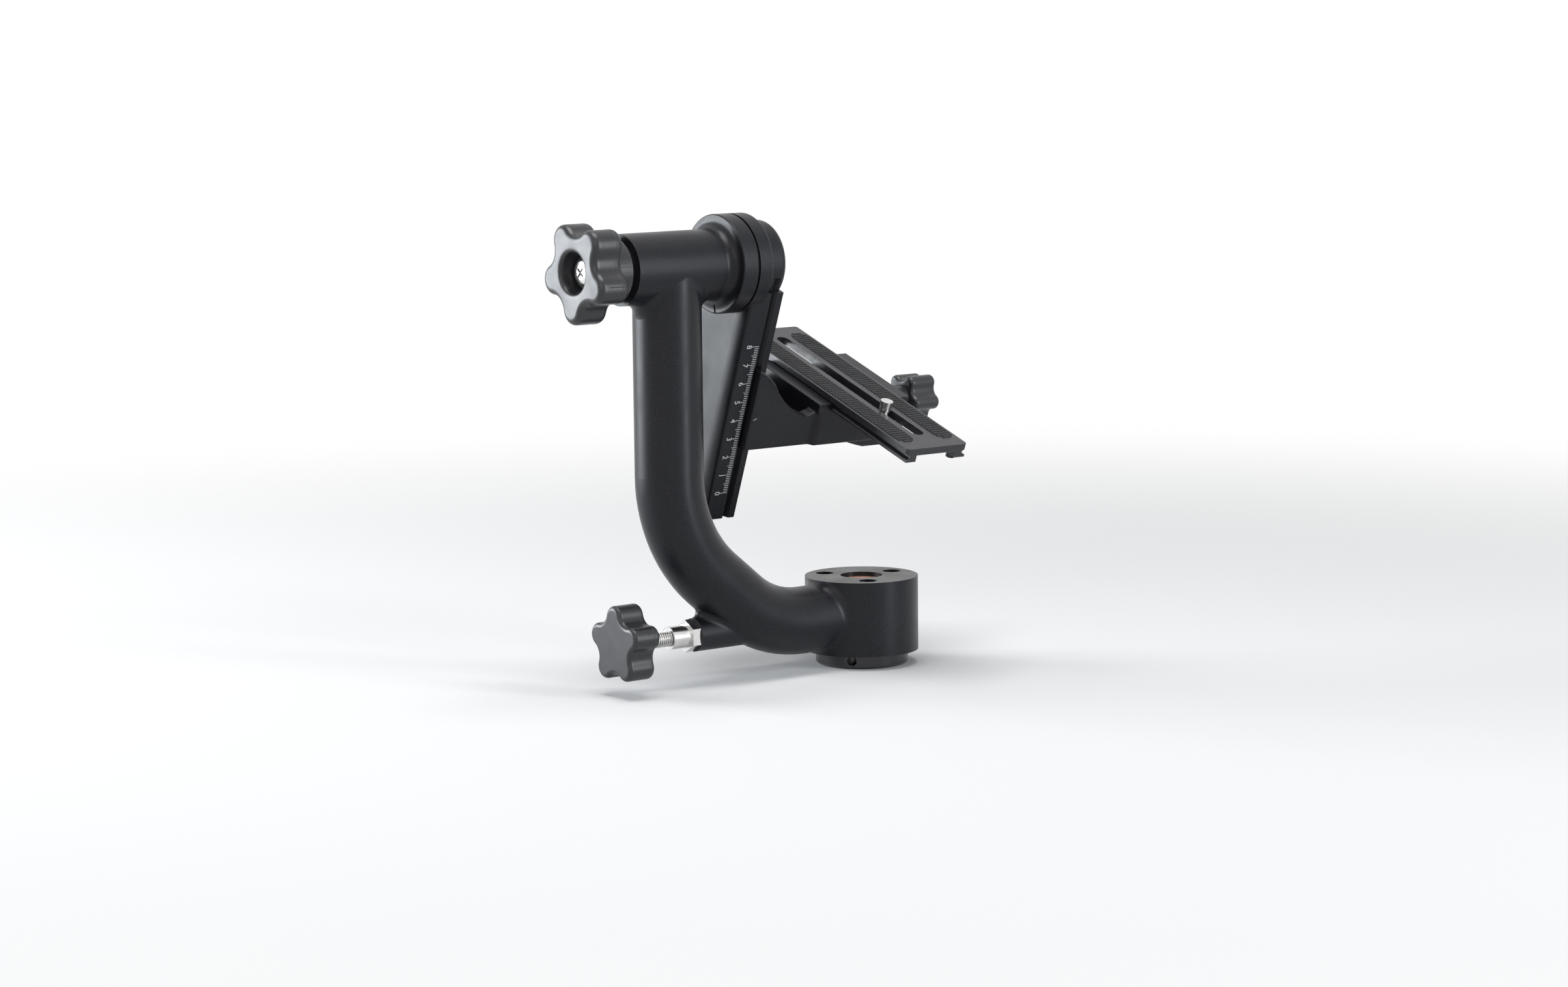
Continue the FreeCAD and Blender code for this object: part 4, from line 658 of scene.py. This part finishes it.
def parting_line(name, node, plane):
    """A fine raised moulding line round a knob."""
    middle, points = section_loop(node, plane)
    shape = bmesh.new()
    rings = []
    profile = ((-LINE_HALF, -INLAY_DEPTH), (-LINE_HALF, 0.0), (0.0, LINE_RISE), (LINE_HALF, 0.0),
               (LINE_HALF, -INLAY_DEPTH))
    for shift, rise in profile:
        ring = []
        for point in points:
            outward = (point - middle).normalized()
            ring.append(shape.verts.new(point + outward * rise * MM + Vector((shift * MM, 0, 0))))
        rings.append(ring)
    rings.append(rings[0])
    for first, second in zip(rings, rings[1:]):
        for step in range(len(points)):
            following = (step + 1) % len(points)
            shape.faces.new((first[step], first[following], second[following], second[step]))
    mesh = mesh_from(name, shape)
    add_piece(name, mesh, body_of(node), KNOB)


def flank_slit(name, node, plane, angle, start, end):
    """Painted shade of a narrow slit lengthwise on the flank of a knob: a thin dark inlay, not a cut."""
    middle, points = section_loop(node, plane)
    aim = math.radians(angle)
    nearest = min(range(len(points)), key=lambda index: turn_between(points[index] - middle, aim))
    before, here, after = points[nearest - 1], points[nearest], points[(nearest + 1) % len(points)]
    along = (after - before).normalized()
    outward = Vector((0, along.z, -along.y))
    if outward.dot(here - middle) < 0:
        outward = -outward
    shape = bmesh.new()
    add_box(shape, (start * MM, -SLIT_SHADE_HALF * MM, -INLAY_DEPTH * MM),
            (end * MM, SLIT_SHADE_HALF * MM, SLIT_SHADE_RISE * MM))
    place = Matrix((Vector((1, 0, 0)), along, outward)).transposed().to_4x4()
    place.translation = Vector((0, here.y, here.z))
    mesh = mesh_from(name, shape, place)
    # The matt dark rubber finish paints the shade inside the slit; the knob itself is not cut
    add_piece(name, mesh, body_of(node), RUBBER)


def turn_between(offset, aim):
    return abs((math.atan2(offset.z, offset.y) - aim + math.pi) % (2 * math.pi) - math.pi)


def threaded_screw(node, start, end, pitch):
    """A screw whose thread shows between two planes across X."""
    low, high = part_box(node)
    radius = 0.5 * (high[1] - low[1]) / MM
    outline = [(low[0] / MM, 0), (low[0] / MM, radius), (start, radius)]
    turns = int((end - start) / pitch)
    for turn in range(turns):
        place = start + turn * pitch
        outline += [(place + share * pitch, radius - depth * pitch) for share, depth in THREAD_FORM]
    outline += [(high[0] / MM, radius), (high[0] / MM, 0)]
    middle = Vector((0, 0.5 * (low[1] + high[1]), 0.5 * (low[2] + high[2])))
    mesh = mesh_from(node + "_thread", lathe(outline), Matrix.Translation(middle))
    smooth_by_angle(mesh)
    piece = add_piece(node + "_threaded", mesh, body_of(node), STAINLESS_ACROSS)
    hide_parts(node)


def index_line():
    """The short printed line on the carriage that is read against the scale."""
    low = swing_box("carriage_bracket")[0]
    shape = bmesh.new()
    corner = Vector(INDEX_HALF) * MM
    add_box(shape, -corner, corner)
    turn = Matrix.Rotation(math.radians(INDEX_TILT), 4, "Y")
    place = Matrix.Translation(Vector((low.x + INDEX_IN, low.y, INDEX_HEIGHT)) * MM)
    mesh = mesh_from("index_line", shape, SWING @ place @ turn)
    add_piece("index_line", mesh, body_of("carriage_bracket"), INK)


def build_camera():
    camera = bpy.data.objects.new("camera", bpy.data.cameras.new("camera"))
    bpy.context.scene.collection.objects.link(camera)
    camera.data.sensor_width = SENSOR_WIDTH
    camera.data.lens = LENS
    camera.data.clip_start = 0.05
    camera.data.clip_end = 20.0
    turn = Matrix((CAMERA_RIGHT, CAMERA_UP, CAMERA_BACK)).transposed().to_4x4()
    camera.matrix_world = Matrix.Translation(CAMERA_PLACE) @ turn
    bpy.context.scene.camera = camera


def area_lamp(name, place, width, height, power, color=WHITE):
    """A soft box that faces the light target."""
    lamp = bpy.data.lights.new(name, "AREA")
    lamp.shape = "RECTANGLE"
    lamp.size = width
    lamp.size_y = height
    lamp.energy = power
    lamp.color = color
    holder = bpy.data.objects.new(name, lamp)
    bpy.context.scene.collection.objects.link(holder)
    holder.location = place
    holder.rotation_euler = (Vector(LIGHT_TARGET) - Vector(place)).to_track_quat("-Z", "Y").to_euler()


def build_world():
    """White to the camera and in reflections, and a plain grey as light."""
    world = bpy.data.worlds.new("studio")
    bpy.context.scene.world = world
    world.use_nodes = True
    tree = world.node_tree
    background = tree.nodes["Background"]
    background.inputs["Color"].default_value = rgb(WHITE)
    path = tree.nodes.new("ShaderNodeLightPath")
    seen = path.outputs["Is Camera Ray"]
    for output in ("Is Glossy Ray", "Is Transmission Ray"):
        highest = tree.nodes.new("ShaderNodeMath")
        highest.operation = "MAXIMUM"
        tree.links.new(seen, highest.inputs[0])
        tree.links.new(path.outputs[output], highest.inputs[1])
        seen = highest.outputs["Value"]
    strength = tree.nodes.new("ShaderNodeMapRange")
    strength.inputs["To Min"].default_value = AMBIENT
    strength.inputs["To Max"].default_value = 1.0
    tree.links.new(seen, strength.inputs["Value"])
    tree.links.new(strength.outputs["Result"], background.inputs["Strength"])


def build_floor():
    """A round pale floor that fades into the white background away from the object."""
    shape = bmesh.new()
    bmesh.ops.create_circle(shape, cap_ends=True, segments=96, radius=FLOOR_RADIUS)
    floor = bpy.data.objects.new("floor", mesh_from("floor", shape))
    bpy.context.scene.collection.objects.link(floor)
    floor.location.z = -FLOOR_DROP
    material = bpy.data.materials.new("floor")
    material.use_nodes = True
    tree = material.node_tree
    diffuse = tree.nodes["Principled BSDF"]
    diffuse.inputs["Base Color"].default_value = rgb(FLOOR_COLOR)
    diffuse.inputs["Roughness"].default_value = 0.9
    diffuse.inputs["Specular IOR Level"].default_value = 0.1
    place = tree.nodes.new("ShaderNodeTexCoord")
    distance = tree.nodes.new("ShaderNodeVectorMath")
    distance.operation = "LENGTH"
    tree.links.new(place.outputs["Object"], distance.inputs[0])
    fade = tree.nodes.new("ShaderNodeMapRange")
    fade.interpolation_type = "SMOOTHSTEP"
    fade.inputs["From Min"].default_value = FADE_START
    fade.inputs["From Max"].default_value = FADE_END
    tree.links.new(distance.outputs["Value"], fade.inputs["Value"])
    clear = tree.nodes.new("ShaderNodeBsdfTransparent")
    mix = tree.nodes.new("ShaderNodeMixShader")
    tree.links.new(fade.outputs["Result"], mix.inputs["Fac"])
    tree.links.new(diffuse.outputs["BSDF"], mix.inputs[1])
    tree.links.new(clear.outputs["BSDF"], mix.inputs[2])
    tree.links.new(mix.outputs["Shader"], tree.nodes["Material Output"].inputs["Surface"])
    floor.data.materials.append(material)


def build_lights():
    area_lamp("left_box", (-1.0, 1.15, 0.35), 0.8, 0.8, 24, COOL)
    area_lamp("right_strip", (0.55, -1.45, 0.45), 0.25, 1.1, 13, COOL)
    area_lamp("top_box", (-0.2, -0.1, 1.6), 0.9, 0.9, 17)
    area_lamp("front_fill", (-1.5, -0.9, 0.9), 0.7, 0.7, 3)


bpy.context.scene.view_settings.view_transform = "Standard"
dress_nodes()
scale_print()
cross_screw()
ribbed_strip("left")
ribbed_strip("right")
cast_form("cast_bracket", "carriage_bracket", bracket_softness, CAST_PASSES)
cast_form("moulded_tilt_knob", "tilt_lock_knob", dish_softness, LIP_PASSES)
index_line()
threaded_screw("pan_lock_screw", -141.0, -118.0, 1.25)
parting_line("pan_knob_line", "pan_lock_knob", -144.0)
parting_line("tilt_knob_line", "tilt_lock_knob", -163.5)
# Painted shade of two slits on the flank of the tilt knob, as dark inlays
flank_slit("tilt_knob_slit_shade_a", "tilt_lock_knob", -168.0, -166.0, -171.5, -162.5)
flank_slit("tilt_knob_slit_shade_b", "tilt_lock_knob", -168.0, -84.0, -172.0, -163.0)
build_camera()
build_world()
build_lights()
build_floor()
